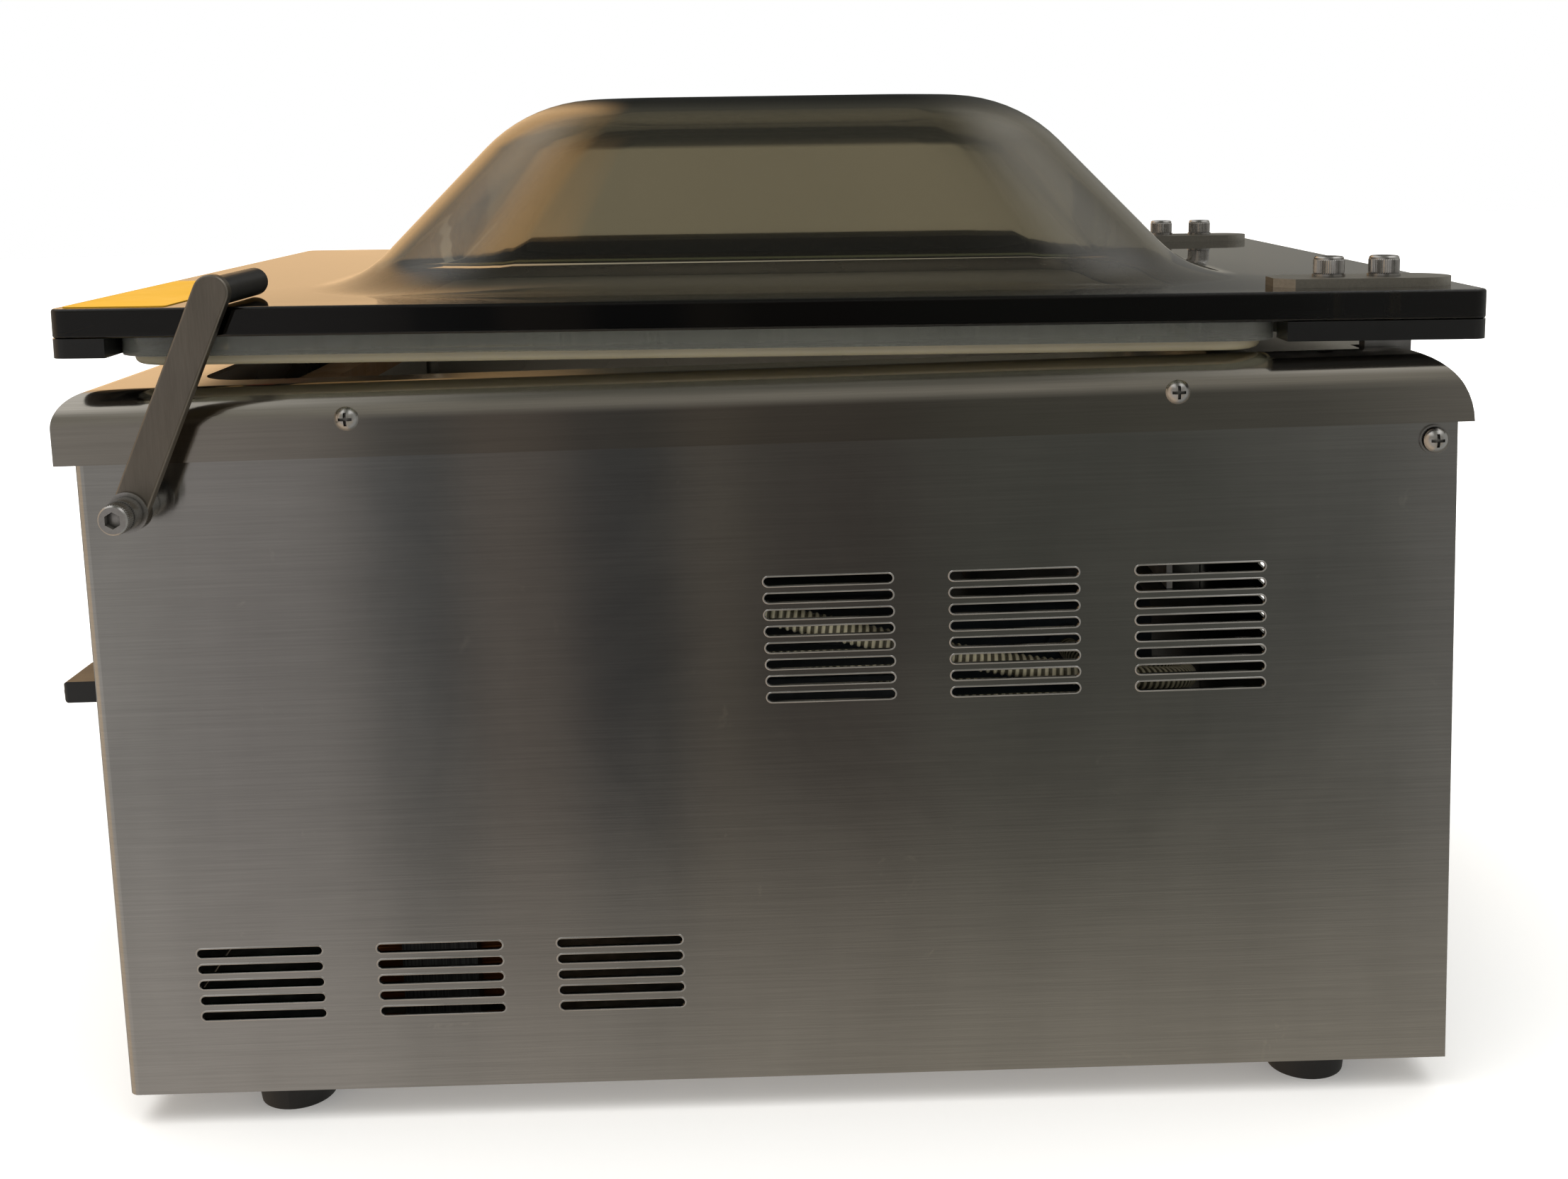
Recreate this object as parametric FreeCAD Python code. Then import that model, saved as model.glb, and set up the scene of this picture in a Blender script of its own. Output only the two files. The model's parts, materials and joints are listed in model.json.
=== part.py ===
import FreeCAD, Part
import math
import os

# Desktop chamber vacuum sealer with a blown acrylic lid.
# Millimetres, +Z up, -Y is the front with the control panel, +X is the side with the lid lever.
# Pieces are modelled round the middle of the case, standing on z = 0, and moved at export so
# that the origin is at the bottom centre of the whole machine's bounding box.

V = FreeCAD.Vector
X_AXIS = V(1, 0, 0)
Y_AXIS = V(0, 1, 0)
Z_AXIS = V(0, 0, 1)

# ---------------------------------------------------------------- driving dimensions
# Case and deck
case_width = 314.0
case_depth = 472.0
case_sheet = 1.2
case_bend = 4.0
foot_height = 12.0
foot_radius = 15.0
foot_inset_x = 22.0
foot_front_y = -181.0
foot_rear_y = 192.0
case_top_z = 258.0
deck_top_z = 266.5
deck_sheet = 1.5
deck_flange = 24.5
deck_edge_radius = 12.0
deck_rear_radius = 25.0
deck_side_overhang = 2.0
deck_front_overhang = 5.5
deck_rear_overhang = 5.0
panel_gap = 0.3

# Chamber and seal bar
chamber_side = 24.0
chamber_front_y = -201.0
chamber_rear_y = 156.0
chamber_depth = 50.0
chamber_corner = 20.0
tub_sheet = 1.5
tub_flange = 8.0
filler_thick = 5.0
filler_gap = 2.0
seal_side_gap = 5.0
seal_width = 14.0
seal_bar_y = -179.0
seal_bar_height = 22.0
seal_bar_drop = 11.0
seal_stroke = 7.5
rod_spacing = 140.0
rod_radius = 4.0
piston_radius = 13.0
piston_thick = 6.0
cylinder_radius = 18.0

# Lid, in its closed position
lid_side_overhang = 8.0
lid_front_y = -237.6
lid_rear_y = 242.4
lid_thick = 10.0
lid_corner = 5.0
lid_gap = 4.6
lid_rest_deg = 1.06
frame_thick = 6.6
frame_front_y = -218.6
frame_rear_y = 175.0
frame_inset_x = 3.0
frame_corner = 15.0
frame_side = 31.0
frame_end = 20.0
gasket_width = 16.0
gasket_side_margin = 22.0
gasket_end_margin = 16.0
gasket_height = 4.0
strip_gap = 0.3
dome_side_margin = 28.0
dome_half_y = 176.0
dome_centre_y = 3.7
dome_height = 70.0
dome_wall = 5.0
dome_corner = 62.0
dome_corner_slope = 0.3
dome_foot_radius = 35.0
dome_crown_radius = 57.0
dome_wall_deg = 48.0
counter_bar_height = 11.7
counter_strip_width = 10.0
counter_strip_thick = 3.0
label_front_gap = 3.0
label_depth = 35.0
label_right_gap = 5.0
label_width = 115.0
label_thick = 0.3

# Hinge
hinge_inset = 25.0
hinge_y = 216.0
shaft_radius = 5.0
shaft_overhang = 11.0
bush_wall = 2.0
arm_thick = 6.0
arm_neck = 16.0
arm_knuckle_radius = 9.0
arm_tail = 19.0
arm_tail_radius = 4.0
arm_foot_thick = 5.0
spring_reach = 74.0
spring_drop = 30.0
spring_radius = 4.2
spring_wire = 0.8
spring_pitch = 2.4
spring_end = 9.0
anchor_width = 16.0
anchor_foot = 13.0
anchor_sheet = 2.0
hinge_plate_length = 62.0
hinge_plate_width = 22.0
hinge_plate_thick = 3.0
hinge_plate_front_y = 175.4
hinge_screw_first = 20.4
hinge_screw_pitch = 19.0
bracket_sheet = 3.0
bracket_gap = 1.0
bracket_front = 31.0
slot_side_gap = 2.0

# Lever
lever_y = -212.5
lever_z = 228.0
lever_rod_rise = 12.584
lever_width = 12.0
lever_thick = 4.0
lever_lean_deg = 24.6
lever_stand_off = 11.0
lever_rod_radius = 4.9
lever_rod_length = 47.0
sleeve_length = 6.6
sleeve_radius = 5.6
washer_thick = 1.0

# Fasteners (radius and height)
m6_shank = 3.0
m6_head = 5.0
m6_head_height = 6.0
m6_hex = 5.0
m4_shank = 2.0
m4_head = 4.2
m4_head_height = 2.6
screw_clear = 0.3
thread_clear = 0.04
running_clear = 0.05
press_clear = 0.02
deck_screw_y = 140.7
deck_screw_drop = 11.2
rear_screw_inset = 8.0
rear_screw_z = 236.0

# Vents
vent_length = 44.3
vent_height = 3.0
vent_pitch = 5.885
vent_column_pitch = 64.0
vent_columns = 3
upper_vent_y = -1.4
upper_vent_z = 193.6
upper_vent_rows = 8
lower_vent_y = -207.0
lower_vent_z = 64.8
lower_vent_rows = 5

# Front panel
panel_z = 150.0
gauge_inset = 53.0
gauge_radius = 30.0
gauge_depth = 26.0
gauge_bezel = 4.0
gauge_bezel_depth = 5.0
overlay_width = 118.0
overlay_height = 96.0
overlay_thick = 1.5
overlay_x = 0.0
button_radius = 6.0
button_pitch = 24.0
button_drop = 26.0
button_proud = 2.0
button_travel = 1.2
display_width = 62.0
display_height = 24.0
display_rise = 20.0
knob_inset = 53.0
knob_radius = 15.0
knob_length = 22.0
knob_skirt = 8.0
knob_grip = 8.0
knob_rim = 2.0
knob_plate = 5.0
knob_gap = 0.4
board_gap = 12.0
board_thick = 1.6

# Insides
pump_x = -28.0
pump_front_y = 62.0
pump_depth = 96.0
pump_width = 108.0
pump_base_z = 36.0
pump_height = 112.0
motor_radius = 52.0
motor_length = 128.0
rail_width = 16.0
rail_sheet = 2.0
filter_radius = 26.0
filter_height = 44.0
transformer_x = 92.0
transformer_y = -128.0
transformer_width = 66.0
transformer_depth = 56.0
transformer_height = 62.0
valve_x = 104.0
valve_y = 96.0
valve_pitch = 42.0
valve_size = 26.0
valve_height = 52.0
hose_radius = 4.5
hose_bore = 3.0

# ---------------------------------------------------------------- worked-out places
half_w = case_width / 2
front_y = -case_depth / 2
rear_y = case_depth / 2
base_z = foot_height
deck_half_w = half_w + deck_side_overhang
deck_front_y = front_y - deck_front_overhang
deck_rear_y = rear_y + deck_rear_overhang
deck_low_z = deck_top_z - deck_flange
deck_under_z = deck_top_z - deck_sheet
hinge_z = deck_top_z - deck_rear_radius
tub_floor_z = deck_top_z - chamber_depth
tub_half_w = half_w - chamber_side
seal_length = 2 * (tub_half_w - seal_side_gap)
frame_low_z = deck_top_z + lid_gap
lid_low_z = frame_low_z + frame_thick
lid_top_z = lid_low_z + lid_thick
lid_half_w = half_w + lid_side_overhang
dome_half_x = lid_half_w - dome_side_margin
hinge_x = lid_half_w - hinge_inset
gauge_x = gauge_inset - half_w
knob_x = half_w - knob_inset
foot_x = half_w - foot_inset_x
inner_w = half_w - case_sheet
seal_top_z = deck_top_z - seal_bar_drop
seal_low_z = seal_top_z - seal_bar_height
lever_in_x = half_w + lever_stand_off
lever_out_x = lever_in_x + lever_thick
lever_length = (lid_top_z + lever_rod_rise - lever_z) / math.cos(math.radians(lever_lean_deg))
axial_gap = 0.1


# ---------------------------------------------------------------- helpers
def box(x0, x1, y0, y1, z0, z1):
    return Part.makeBox(x1 - x0, y1 - y0, z1 - z0, V(x0, y0, z0))


def rod(radius, start, end):
    run = end.sub(start)
    return Part.makeCylinder(radius, run.Length, start, run)


def ring(outer, inner, start, end):
    overshoot = end.sub(start).normalize()
    return rod(outer, start, end).cut(rod(inner, start.sub(overshoot), end.add(overshoot)))


def rounded_wire(x0, x1, y0, y1, z, r):
    """Closed wire of a rectangle with four round corners, in a level plane."""
    s = r * (1 - math.sqrt(0.5))
    points = [V(x0 + r, y0, z), V(x1 - r, y0, z), V(x1, y0 + r, z), V(x1, y1 - r, z),
              V(x1 - r, y1, z), V(x0 + r, y1, z), V(x0, y1 - r, z), V(x0, y0 + r, z)]
    corners = [V(x1 - s, y0 + s, z), V(x1 - s, y1 - s, z), V(x0 + s, y1 - s, z), V(x0 + s, y0 + s, z)]
    edges = []
    for i in range(4):
        start = points[2 * i]
        end = points[2 * i + 1]
        after = points[(2 * i + 2) % 8]
        edges.append(Part.LineSegment(start, end).toShape())
        edges.append(Part.Arc(end, corners[i], after).toShape())
    return Part.Wire(edges)


def slab(x0, x1, y0, y1, z0, z1, r):
    """Plate with rounded plan corners."""
    return Part.Face(rounded_wire(x0, x1, y0, y1, z0, r)).extrude(V(0, 0, z1 - z0))


def outline(points, run):
    """Solid swept straight along run from a closed polygon."""
    return Part.Face(Part.makePolygon(points + [points[0]])).extrude(run)


def joined(shapes):
    result = shapes[0].fuse(shapes[1:])
    return result.removeSplitter()


def group(shapes):
    """Separate solids that share one node."""
    solids = []
    for shape in shapes:
        solids.extend(shape.Solids)
    return Part.makeCompound(solids)


def turned(shape, centre, axis, degrees):
    copy = shape.copy()
    copy.rotate(centre, axis, degrees)
    return copy


def placed(shape, place, axis):
    """Stands a piece made along +Z at place, along axis."""
    copy = shape.copy()
    copy.Placement = FreeCAD.Placement(place, FreeCAD.Rotation(Z_AXIS, axis))
    return copy


def socket_screw(length):
    """M6 cap screw along -Z from the underside of its head at z = 0."""
    head = rod(m6_head, V(0, 0, 0), V(0, 0, m6_head_height))
    top_edge = [e for e in head.Edges if abs(e.BoundBox.ZMin - m6_head_height) < 0.01
                and len(e.Vertexes) == 1]
    head = head.makeChamfer(0.5, top_edge[:1])
    corner = m6_hex / math.sqrt(3)
    points = [V(corner * math.cos(math.radians(60 * i)), corner * math.sin(math.radians(60 * i)),
                m6_head_height / 2) for i in range(6)]
    socket = outline(points, V(0, 0, m6_head_height))
    return head.cut(socket).fuse(rod(m6_shank, V(0, 0, -length), V(0, 0, 0)))


def pan_screw(length):
    """M4 pan head screw along -Z, with a cross recess and a domed head."""
    dome_radius = (m4_head ** 2 + m4_head_height ** 2) / (2 * m4_head_height)
    dome = Part.makeSphere(dome_radius, V(0, 0, m4_head_height - dome_radius))
    head = dome.common(rod(m4_head, V(0, 0, 0), V(0, 0, m4_head_height)))
    arm = m4_head * 0.55
    blade = m4_head * 0.12
    deep = m4_head_height * 0.45
    cross = box(-arm, arm, -blade, blade, deep, m4_head_height + 1)
    cross = cross.fuse(box(-blade, blade, -arm, arm, deep, m4_head_height + 1))
    return head.cut(cross).fuse(rod(m4_shank, V(0, 0, -length), V(0, 0, 0)))


def vent_slots(first_y, top_z, rows):
    """Obround slots through both side walls, in columns."""
    tools = []
    end = vent_height / 2
    reach = half_w + 5
    for column in range(vent_columns):
        y0 = first_y + column * vent_column_pitch
        for row in range(rows):
            z = top_z - row * vent_pitch
            middle = box(-reach, reach, y0 + end, y0 + vent_length - end, z - end, z + end)
            tools.append(middle)
            for y in (y0 + end, y0 + vent_length - end):
                tools.append(rod(end, V(-reach, y, z), V(reach, y, z)))
    return tools


# ---------------------------------------------------------------- case and deck
def make_case_shell():
    """Front and both sides, bent from one sheet, with the vents and the panel cut-outs."""
    outer = slab(-half_w, half_w, front_y, rear_y + case_bend, base_z, case_top_z, case_bend)
    inner = slab(-inner_w, inner_w, front_y + case_sheet, rear_y + 2 * case_bend, base_z - 1, case_top_z + 1,
                 case_bend - case_sheet)
    shell = outer.cut(inner).cut(box(-half_w - 1, half_w + 1, rear_y, rear_y + 3 * case_bend, 0, 400))
    tools = vent_slots(upper_vent_y, upper_vent_z, upper_vent_rows)
    tools += vent_slots(lower_vent_y, lower_vent_z, lower_vent_rows)
    through = V(0, 3 * case_sheet, 0)
    for x, radius in ((gauge_x, gauge_radius + screw_clear), (knob_x, m6_shank + 2 * screw_clear)):
        start = V(x, front_y - case_sheet, panel_z)
        tools.append(rod(radius, start, start.add(through)))
    for x in button_places():
        start = V(x, front_y - case_sheet, panel_z - button_drop)
        tools.append(rod(button_radius + screw_clear, start, start.add(through)))
    tools.append(box(overlay_x - display_width / 2, overlay_x + display_width / 2, front_y - 1,
                     front_y + 3 * case_sheet, panel_z + display_rise - display_height / 2,
                     panel_z + display_rise + display_height / 2))
    reach = half_w + 5
    for y in (-deck_screw_y, deck_screw_y):
        z = deck_top_z - deck_screw_drop
        tools.append(rod(m4_shank + screw_clear, V(-reach, y, z), V(reach, y, z)))
    y = rear_y - rear_screw_inset
    tools.append(rod(m4_shank + screw_clear, V(-reach, y, rear_screw_z), V(reach, y, rear_screw_z)))
    tools.append(rod(m6_shank + screw_clear, V(0, lever_y, lever_z), V(reach, lever_y, lever_z)))
    return trimmed_to_deck(shell).cut(tools)


def trimmed_to_deck(shell):
    """Rounds the top of the walls off to clear the inside of the deck's shoulders."""
    inset = deck_sheet + panel_gap
    under_deck = deck_profile(inset).common(deck_section(inset))
    below = box(-half_w - 5, half_w + 5, front_y - 5, rear_y + 5, 0, deck_low_z)
    return shell.common(under_deck.fuse(below))


def make_rear_panel():
    """Rear wall with forward flanges, set between the sides."""
    out_x = inner_w - panel_gap
    top = deck_low_z - 1.0
    low = base_z + case_sheet + panel_gap
    flange = 2 * rear_screw_inset
    y1 = rear_y - panel_gap
    y0 = y1 - flange
    wall = box(-out_x, out_x, y0, y1, low, top)
    wall = wall.cut(box(-out_x + case_sheet, out_x - case_sheet, y0 - 1, y1 - case_sheet, low - 1, top + 1))
    tools = []
    y = rear_y - rear_screw_inset
    tools.append(rod(m4_shank + thread_clear, V(-half_w, y, rear_screw_z), V(half_w, y, rear_screw_z)))
    ix, iz = inlet_place()
    tools.append(box(ix - 14, ix + 14, y0, rear_y + 1, iz - 10, iz + 10))
    tools.append(rod(6 + screw_clear, V(ix - 34, y0, iz), V(ix - 34, rear_y + 1, iz)))
    for row in range(10):
        z = 92.0 + row * 8.0
        tools.append(box(-96, -20, y1 - 2 * case_sheet, y1 + 1, z, z + vent_height))
    return wall.cut(tools)


def inlet_place():
    return half_w - 60.0, base_z + 34.0


def make_base_plate():
    """Bottom tray with an upturned rim inside the case."""
    out_x = inner_w - panel_gap
    y0 = front_y + case_sheet + panel_gap
    y1 = rear_y - 4 * case_sheet
    rim = 12.0
    tray = slab(-out_x, out_x, y0, y1, base_z, base_z + case_sheet, case_bend)
    for x in (-out_x, out_x - case_sheet):
        tray = tray.fuse(box(x, x + case_sheet, y0 + case_bend, y1 - 4 * rear_screw_inset, base_z,
                             base_z + rim))
    tray = tray.removeSplitter()
    holes = [rod(m4_shank + screw_clear, V(x, y, 0), V(x, y, 40)) for x, y in foot_places()]
    return tray.cut(holes)


def foot_places():
    return [(x, y) for x in (-foot_x, foot_x) for y in (foot_front_y, foot_rear_y)]


def make_feet():
    """Tapered rubber feet with a recess for the screw head."""
    feet = []
    for x, y in foot_places():
        foot = Part.makeCone(foot_radius - 1.5, foot_radius, foot_height, V(x, y, 0))
        foot = foot.cut(rod(m4_head + screw_clear, V(x, y, -1), V(x, y, foot_height / 2)))
        foot = foot.cut(rod(m4_shank + screw_clear, V(x, y, -1), V(x, y, foot_height + 1)))
        feet.append(foot)
    return group(feet)


def make_foot_screws():
    screws = []
    for x, y in foot_places():
        screws.append(placed(pan_screw(foot_height / 2 + 4 * case_sheet), V(x, y, foot_height / 2),
                             V(0, 0, -1)))
    return group(screws)


def deck_profile(inset):
    """Deck seen from the side: square shoulders at the front, a bullnose at the back."""
    y0 = deck_front_y + inset
    y1 = deck_rear_y - inset
    z1 = deck_top_z - inset
    z0 = deck_low_z - (1 if inset else 0)
    r = deck_edge_radius - inset
    big = deck_rear_radius - inset
    s = math.sqrt(0.5)
    x = -deck_half_w - 5
    front = Part.Arc(V(x, y0, z1 - r), V(x, y0 + r * (1 - s), z1 - r * (1 - s)), V(x, y0 + r, z1))
    back = Part.Arc(V(x, y1 - big, z1), V(x, y1 - big * (1 - s), z1 - big * (1 - s)), V(x, y1, z1 - big))
    edges = [Part.LineSegment(V(x, y0, z0), V(x, y0, z1 - r)).toShape(), front.toShape(),
             Part.LineSegment(V(x, y0 + r, z1), V(x, y1 - big, z1)).toShape(), back.toShape(),
             Part.LineSegment(V(x, y1, z1 - big), V(x, y1, z0 - 2)).toShape(),
             Part.LineSegment(V(x, y1, z0 - 2), V(x, y0, z0 - 2)).toShape(),
             Part.LineSegment(V(x, y0, z0 - 2), V(x, y0, z0)).toShape()]
    solid = Part.Face(Part.Wire(edges)).extrude(V(2 * deck_half_w + 10, 0, 0))
    return solid


def deck_section(inset):
    """Deck seen from the front: two rounded shoulders."""
    x1 = deck_half_w - inset
    z1 = deck_top_z - inset
    z0 = deck_low_z - (3 if inset else 0)
    r = deck_edge_radius - inset
    s = math.sqrt(0.5)
    y = deck_front_y - 5
    left = Part.Arc(V(-x1, y, z1 - r), V(-x1 + r * (1 - s), y, z1 - r * (1 - s)), V(-x1 + r, y, z1))
    right = Part.Arc(V(x1 - r, y, z1), V(x1 - r * (1 - s), y, z1 - r * (1 - s)), V(x1, y, z1 - r))
    edges = [Part.LineSegment(V(-x1, y, z0), V(-x1, y, z1 - r)).toShape(), left.toShape(),
             Part.LineSegment(V(-x1 + r, y, z1), V(x1 - r, y, z1)).toShape(), right.toShape(),
             Part.LineSegment(V(x1, y, z1 - r), V(x1, y, z0)).toShape(),
             Part.LineSegment(V(x1, y, z0), V(-x1, y, z0)).toShape()]
    return Part.Face(Part.Wire(edges)).extrude(V(0, deck_rear_y - deck_front_y + 10, 0))


def make_deck_pan():
    """Pressed top with a downturned flange, the chamber mouth and two slots for the hinge arms."""
    outer = deck_profile(0.0).common(deck_section(0.0))
    inner = deck_profile(deck_sheet).common(deck_section(deck_sheet))
    deck = outer.cut(inner)
    tools = [slab(-tub_half_w, tub_half_w, chamber_front_y, chamber_rear_y, deck_under_z - 1,
                  deck_top_z + 1, chamber_corner)]
    reach = deck_half_w + 5
    z = deck_top_z - deck_screw_drop
    for y in (-deck_screw_y, deck_screw_y):
        tools.append(rod(m4_shank + screw_clear, V(-reach, y, z), V(reach, y, z)))
    half_slot = arm_thick / 2 + slot_side_gap
    slot_front = hinge_y - arm_neck / 2 - slot_side_gap
    for x in (-hinge_x, hinge_x):
        tools.append(box(x - half_slot, x + half_slot, slot_front, deck_rear_y + 1, hinge_z + 3,
                         deck_top_z + 1))
    return deck.cut(tools)


def make_chamber_tub():
    """Drawn stainless tub welded under the deck, with the rod holes and the suction port."""
    wall = tub_sheet
    outer = slab(-tub_half_w - wall, tub_half_w + wall, chamber_front_y - wall, chamber_rear_y + wall,
                 tub_floor_z - wall, deck_under_z, chamber_corner + wall)
    lip = slab(-tub_half_w - tub_flange, tub_half_w + tub_flange, chamber_front_y - tub_flange,
               chamber_rear_y + tub_flange, deck_under_z - wall, deck_under_z, chamber_corner + tub_flange)
    inner = slab(-tub_half_w, tub_half_w, chamber_front_y, chamber_rear_y, tub_floor_z, deck_under_z + 1,
                 chamber_corner)
    tub = outer.fuse(lip).removeSplitter().cut(inner)
    holes = []
    for x in (-rod_spacing / 2, rod_spacing / 2):
        holes.append(rod(rod_radius + screw_clear, V(x, seal_bar_y, 0), V(x, seal_bar_y, deck_top_z)))
    port = hose_route()[0]
    holes.append(rod(hose_radius + thread_clear, V(port.x, port.y, tub_floor_z - 2 * wall),
                     V(port.x, port.y, tub_floor_z + 1)))
    return tub.cut(holes)


def make_filler_plate():
    """Loose plastic plate on the chamber floor, which raises a small bag."""
    front = seal_bar_y + seal_width / 2 + 3 * filler_gap
    return slab(-tub_half_w + filler_gap, tub_half_w - filler_gap, front, chamber_rear_y - filler_gap,
                tub_floor_z + filler_gap / 4, tub_floor_z + filler_gap / 4 + filler_thick,
                chamber_corner - filler_gap)


def make_deck_screws():
    z = deck_top_z - deck_screw_drop
    length = deck_side_overhang + 3 * case_sheet
    screws = []
    for side in (-1, 1):
        for y in (-deck_screw_y, deck_screw_y):
            screws.append(placed(pan_screw(length), V(side * deck_half_w, y, z), V(side, 0, 0)))
    return group(screws)


def make_rear_screws():
    """Screws into the rear panel's flanges, each with a flat washer and a spring washer."""
    y = rear_y - rear_screw_inset
    pieces = []
    for side in (-1, 1):
        place = V(side * (half_w + 2 * washer_thick), y, rear_screw_z)
        pieces.append(placed(pan_screw(2 * washer_thick + 3 * case_sheet), place, V(side, 0, 0)))
        for i, radius in enumerate((m4_head + 0.9, m4_head - 0.4)):
            start = V(side * (half_w + i * washer_thick), y, rear_screw_z)
            end = V(side * (half_w + (i + 1) * washer_thick), y, rear_screw_z)
            pieces.append(ring(radius, m4_shank + thread_clear, start, end))
    return group(pieces)


# ---------------------------------------------------------------- hinge, on the case side
def make_hinge_shaft():
    reach = hinge_x + shaft_overhang
    return rod(shaft_radius, V(-reach, hinge_y, hinge_z), V(reach, hinge_y, hinge_z))


def make_hinge_brackets():
    """Two forked brackets welded under the deck, one round each hinge arm."""
    brackets = []
    ear_in = arm_thick / 2 + bracket_gap
    ear_out = ear_in + bracket_sheet
    low = hinge_z - arm_knuckle_radius
    web_y = hinge_y - bracket_front
    for x in (-hinge_x, hinge_x):
        body = box(x - ear_out, x + ear_out, web_y, hinge_y, low, deck_under_z)
        body = body.fuse(rod(arm_knuckle_radius, V(x - ear_out, hinge_y, hinge_z),
                             V(x + ear_out, hinge_y, hinge_z)))
        body = body.removeSplitter()
        body = body.cut(box(x - ear_in, x + ear_in, web_y + bracket_sheet, hinge_y + 20, low - 1,
                            deck_under_z + 1))
        body = body.cut(rod(shaft_radius + press_clear, V(x - 20, hinge_y, hinge_z),
                            V(x + 20, hinge_y, hinge_z)))
        brackets.append(body)
    return group(brackets)


# ---------------------------------------------------------------- lid, modelled closed
def dome_profile(foot_radius, crown_radius, low, crown_inset, crown_z, steps):
    """Inset and height of the blown wall: a foot arc, a straight slope and a crown arc."""
    slope = math.radians(dome_wall_deg)
    crown_start_inset = crown_inset - crown_radius * math.sin(slope)
    crown_start_z = crown_z + crown_radius * math.cos(slope)
    foot_end_z = low + foot_radius * (1 - math.cos(slope))
    foot_end_inset = crown_start_inset - (crown_start_z - foot_end_z) / math.tan(slope)
    foot_start_inset = foot_end_inset - foot_radius * math.sin(slope)
    points = []
    for i in range(steps + 1):
        a = slope * i / steps
        points.append((foot_start_inset + foot_radius * math.sin(a), low + foot_radius * (1 - math.cos(a))))
    points.append(((foot_end_inset + crown_start_inset) / 2, (foot_end_z + crown_start_z) / 2))
    for i in range(steps + 1):
        a = slope * (1 - i / steps)
        points.append((crown_inset - crown_radius * math.sin(a), crown_z + crown_radius * math.cos(a)))
    return points


def dome_body(points, start_z):
    """Smooth solid through rounded rectangles that shrink as they rise."""
    wires = []
    sections = [(points[0][0], start_z)] + points
    for inset, z in sections:
        half_x = dome_half_x - inset
        half_y = dome_half_y - inset
        corner = dome_corner - dome_corner_slope * inset
        wires.append(rounded_wire(-half_x, half_x, dome_centre_y - half_y, dome_centre_y + half_y, z,
                                  corner))
    base = Part.makeLoft(wires[:2], True, True)
    shell = Part.makeLoft(wires[1:], True, False)
    return base.fuse(shell)


def crown_centre():
    """Inset and height of the crown arc's centre, from the outer wall."""
    slope = math.radians(dome_wall_deg)
    foot_end_inset = dome_foot_radius * math.sin(slope)
    foot_end_z = dome_foot_radius * (1 - math.cos(slope))
    centre_z = dome_height - dome_crown_radius
    crown_start_z = centre_z + dome_crown_radius * math.cos(slope)
    run = (crown_start_z - foot_end_z) / math.tan(slope)
    return foot_end_inset + run + dome_crown_radius * math.sin(slope), centre_z


def trimmed(points, low):
    """Drops the flat start of the foot arc, where the wall is level with the sheet."""
    return [p for p in points if p[1] > low + 0.05]


def make_lid_cover():
    """Thick acrylic sheet with a dome blown from it in one piece."""
    sheet = slab(-lid_half_w, lid_half_w, lid_front_y, lid_rear_y, lid_low_z, lid_top_z, lid_corner)
    rims = [e for e in sheet.Edges if e.BoundBox.ZLength < 0.01]
    sheet = sheet.makeFillet(1.0, rims)
    inset, centre_z = crown_centre()
    foot_inner = dome_foot_radius - dome_wall
    outer = dome_profile(dome_foot_radius, dome_crown_radius, 0.0, inset, centre_z, 4)
    inner = dome_profile(foot_inner, dome_crown_radius - dome_wall, -lid_thick, inset, centre_z, 4)
    outer = [(i, lid_top_z + z) for i, z in trimmed(outer, 0.0)]
    inner = [(i, lid_top_z + z) for i, z in trimmed(inner, -lid_thick)]
    lid = sheet.fuse(dome_body(outer, lid_top_z - lid_thick / 2))
    lid = lid.cut(dome_body(inner, lid_low_z - 1.0))
    holes = []
    for x, y in hinge_screw_places():
        holes.append(rod(m6_shank + screw_clear, V(x, y, lid_low_z - 1), V(x, y, lid_top_z + 1)))
    return lid.cut(holes)


def hinge_screw_places():
    first = hinge_plate_front_y + hinge_screw_first
    return [(side * hinge_x, first + i * hinge_screw_pitch) for side in (-1, 1) for i in (0, 1)]


def make_front_strip():
    rear = frame_front_y - strip_gap
    strip = slab(-lid_half_w, lid_half_w, lid_front_y, lid_front_y + 4 * lid_corner + 20, frame_low_z,
                 lid_low_z, lid_corner)
    return strip.cut(box(-lid_half_w - 1, lid_half_w + 1, rear, rear + 100, frame_low_z - 1, lid_low_z + 1))


def make_rear_strip():
    """Second sheet under the rear of the lid, pocketed for the feet of the hinge arms."""
    front = frame_rear_y + strip_gap - frame_corner
    strip = slab(-lid_half_w, lid_half_w, front - 20, lid_rear_y, frame_low_z, lid_low_z, lid_corner)
    strip = strip.cut(box(-lid_half_w - 1, lid_half_w + 1, front - 40, frame_rear_y + strip_gap,
                          frame_low_z - 1, lid_low_z + 1))
    tools = []
    half = hinge_plate_width / 2 + strip_gap
    for x in (-hinge_x, hinge_x):
        tools.append(box(x - half, x + half, hinge_plate_front_y - strip_gap,
                         hinge_plate_front_y + hinge_plate_length + strip_gap,
                         frame_low_z - 1, lid_low_z + 1))
    return strip.cut(tools)


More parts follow.
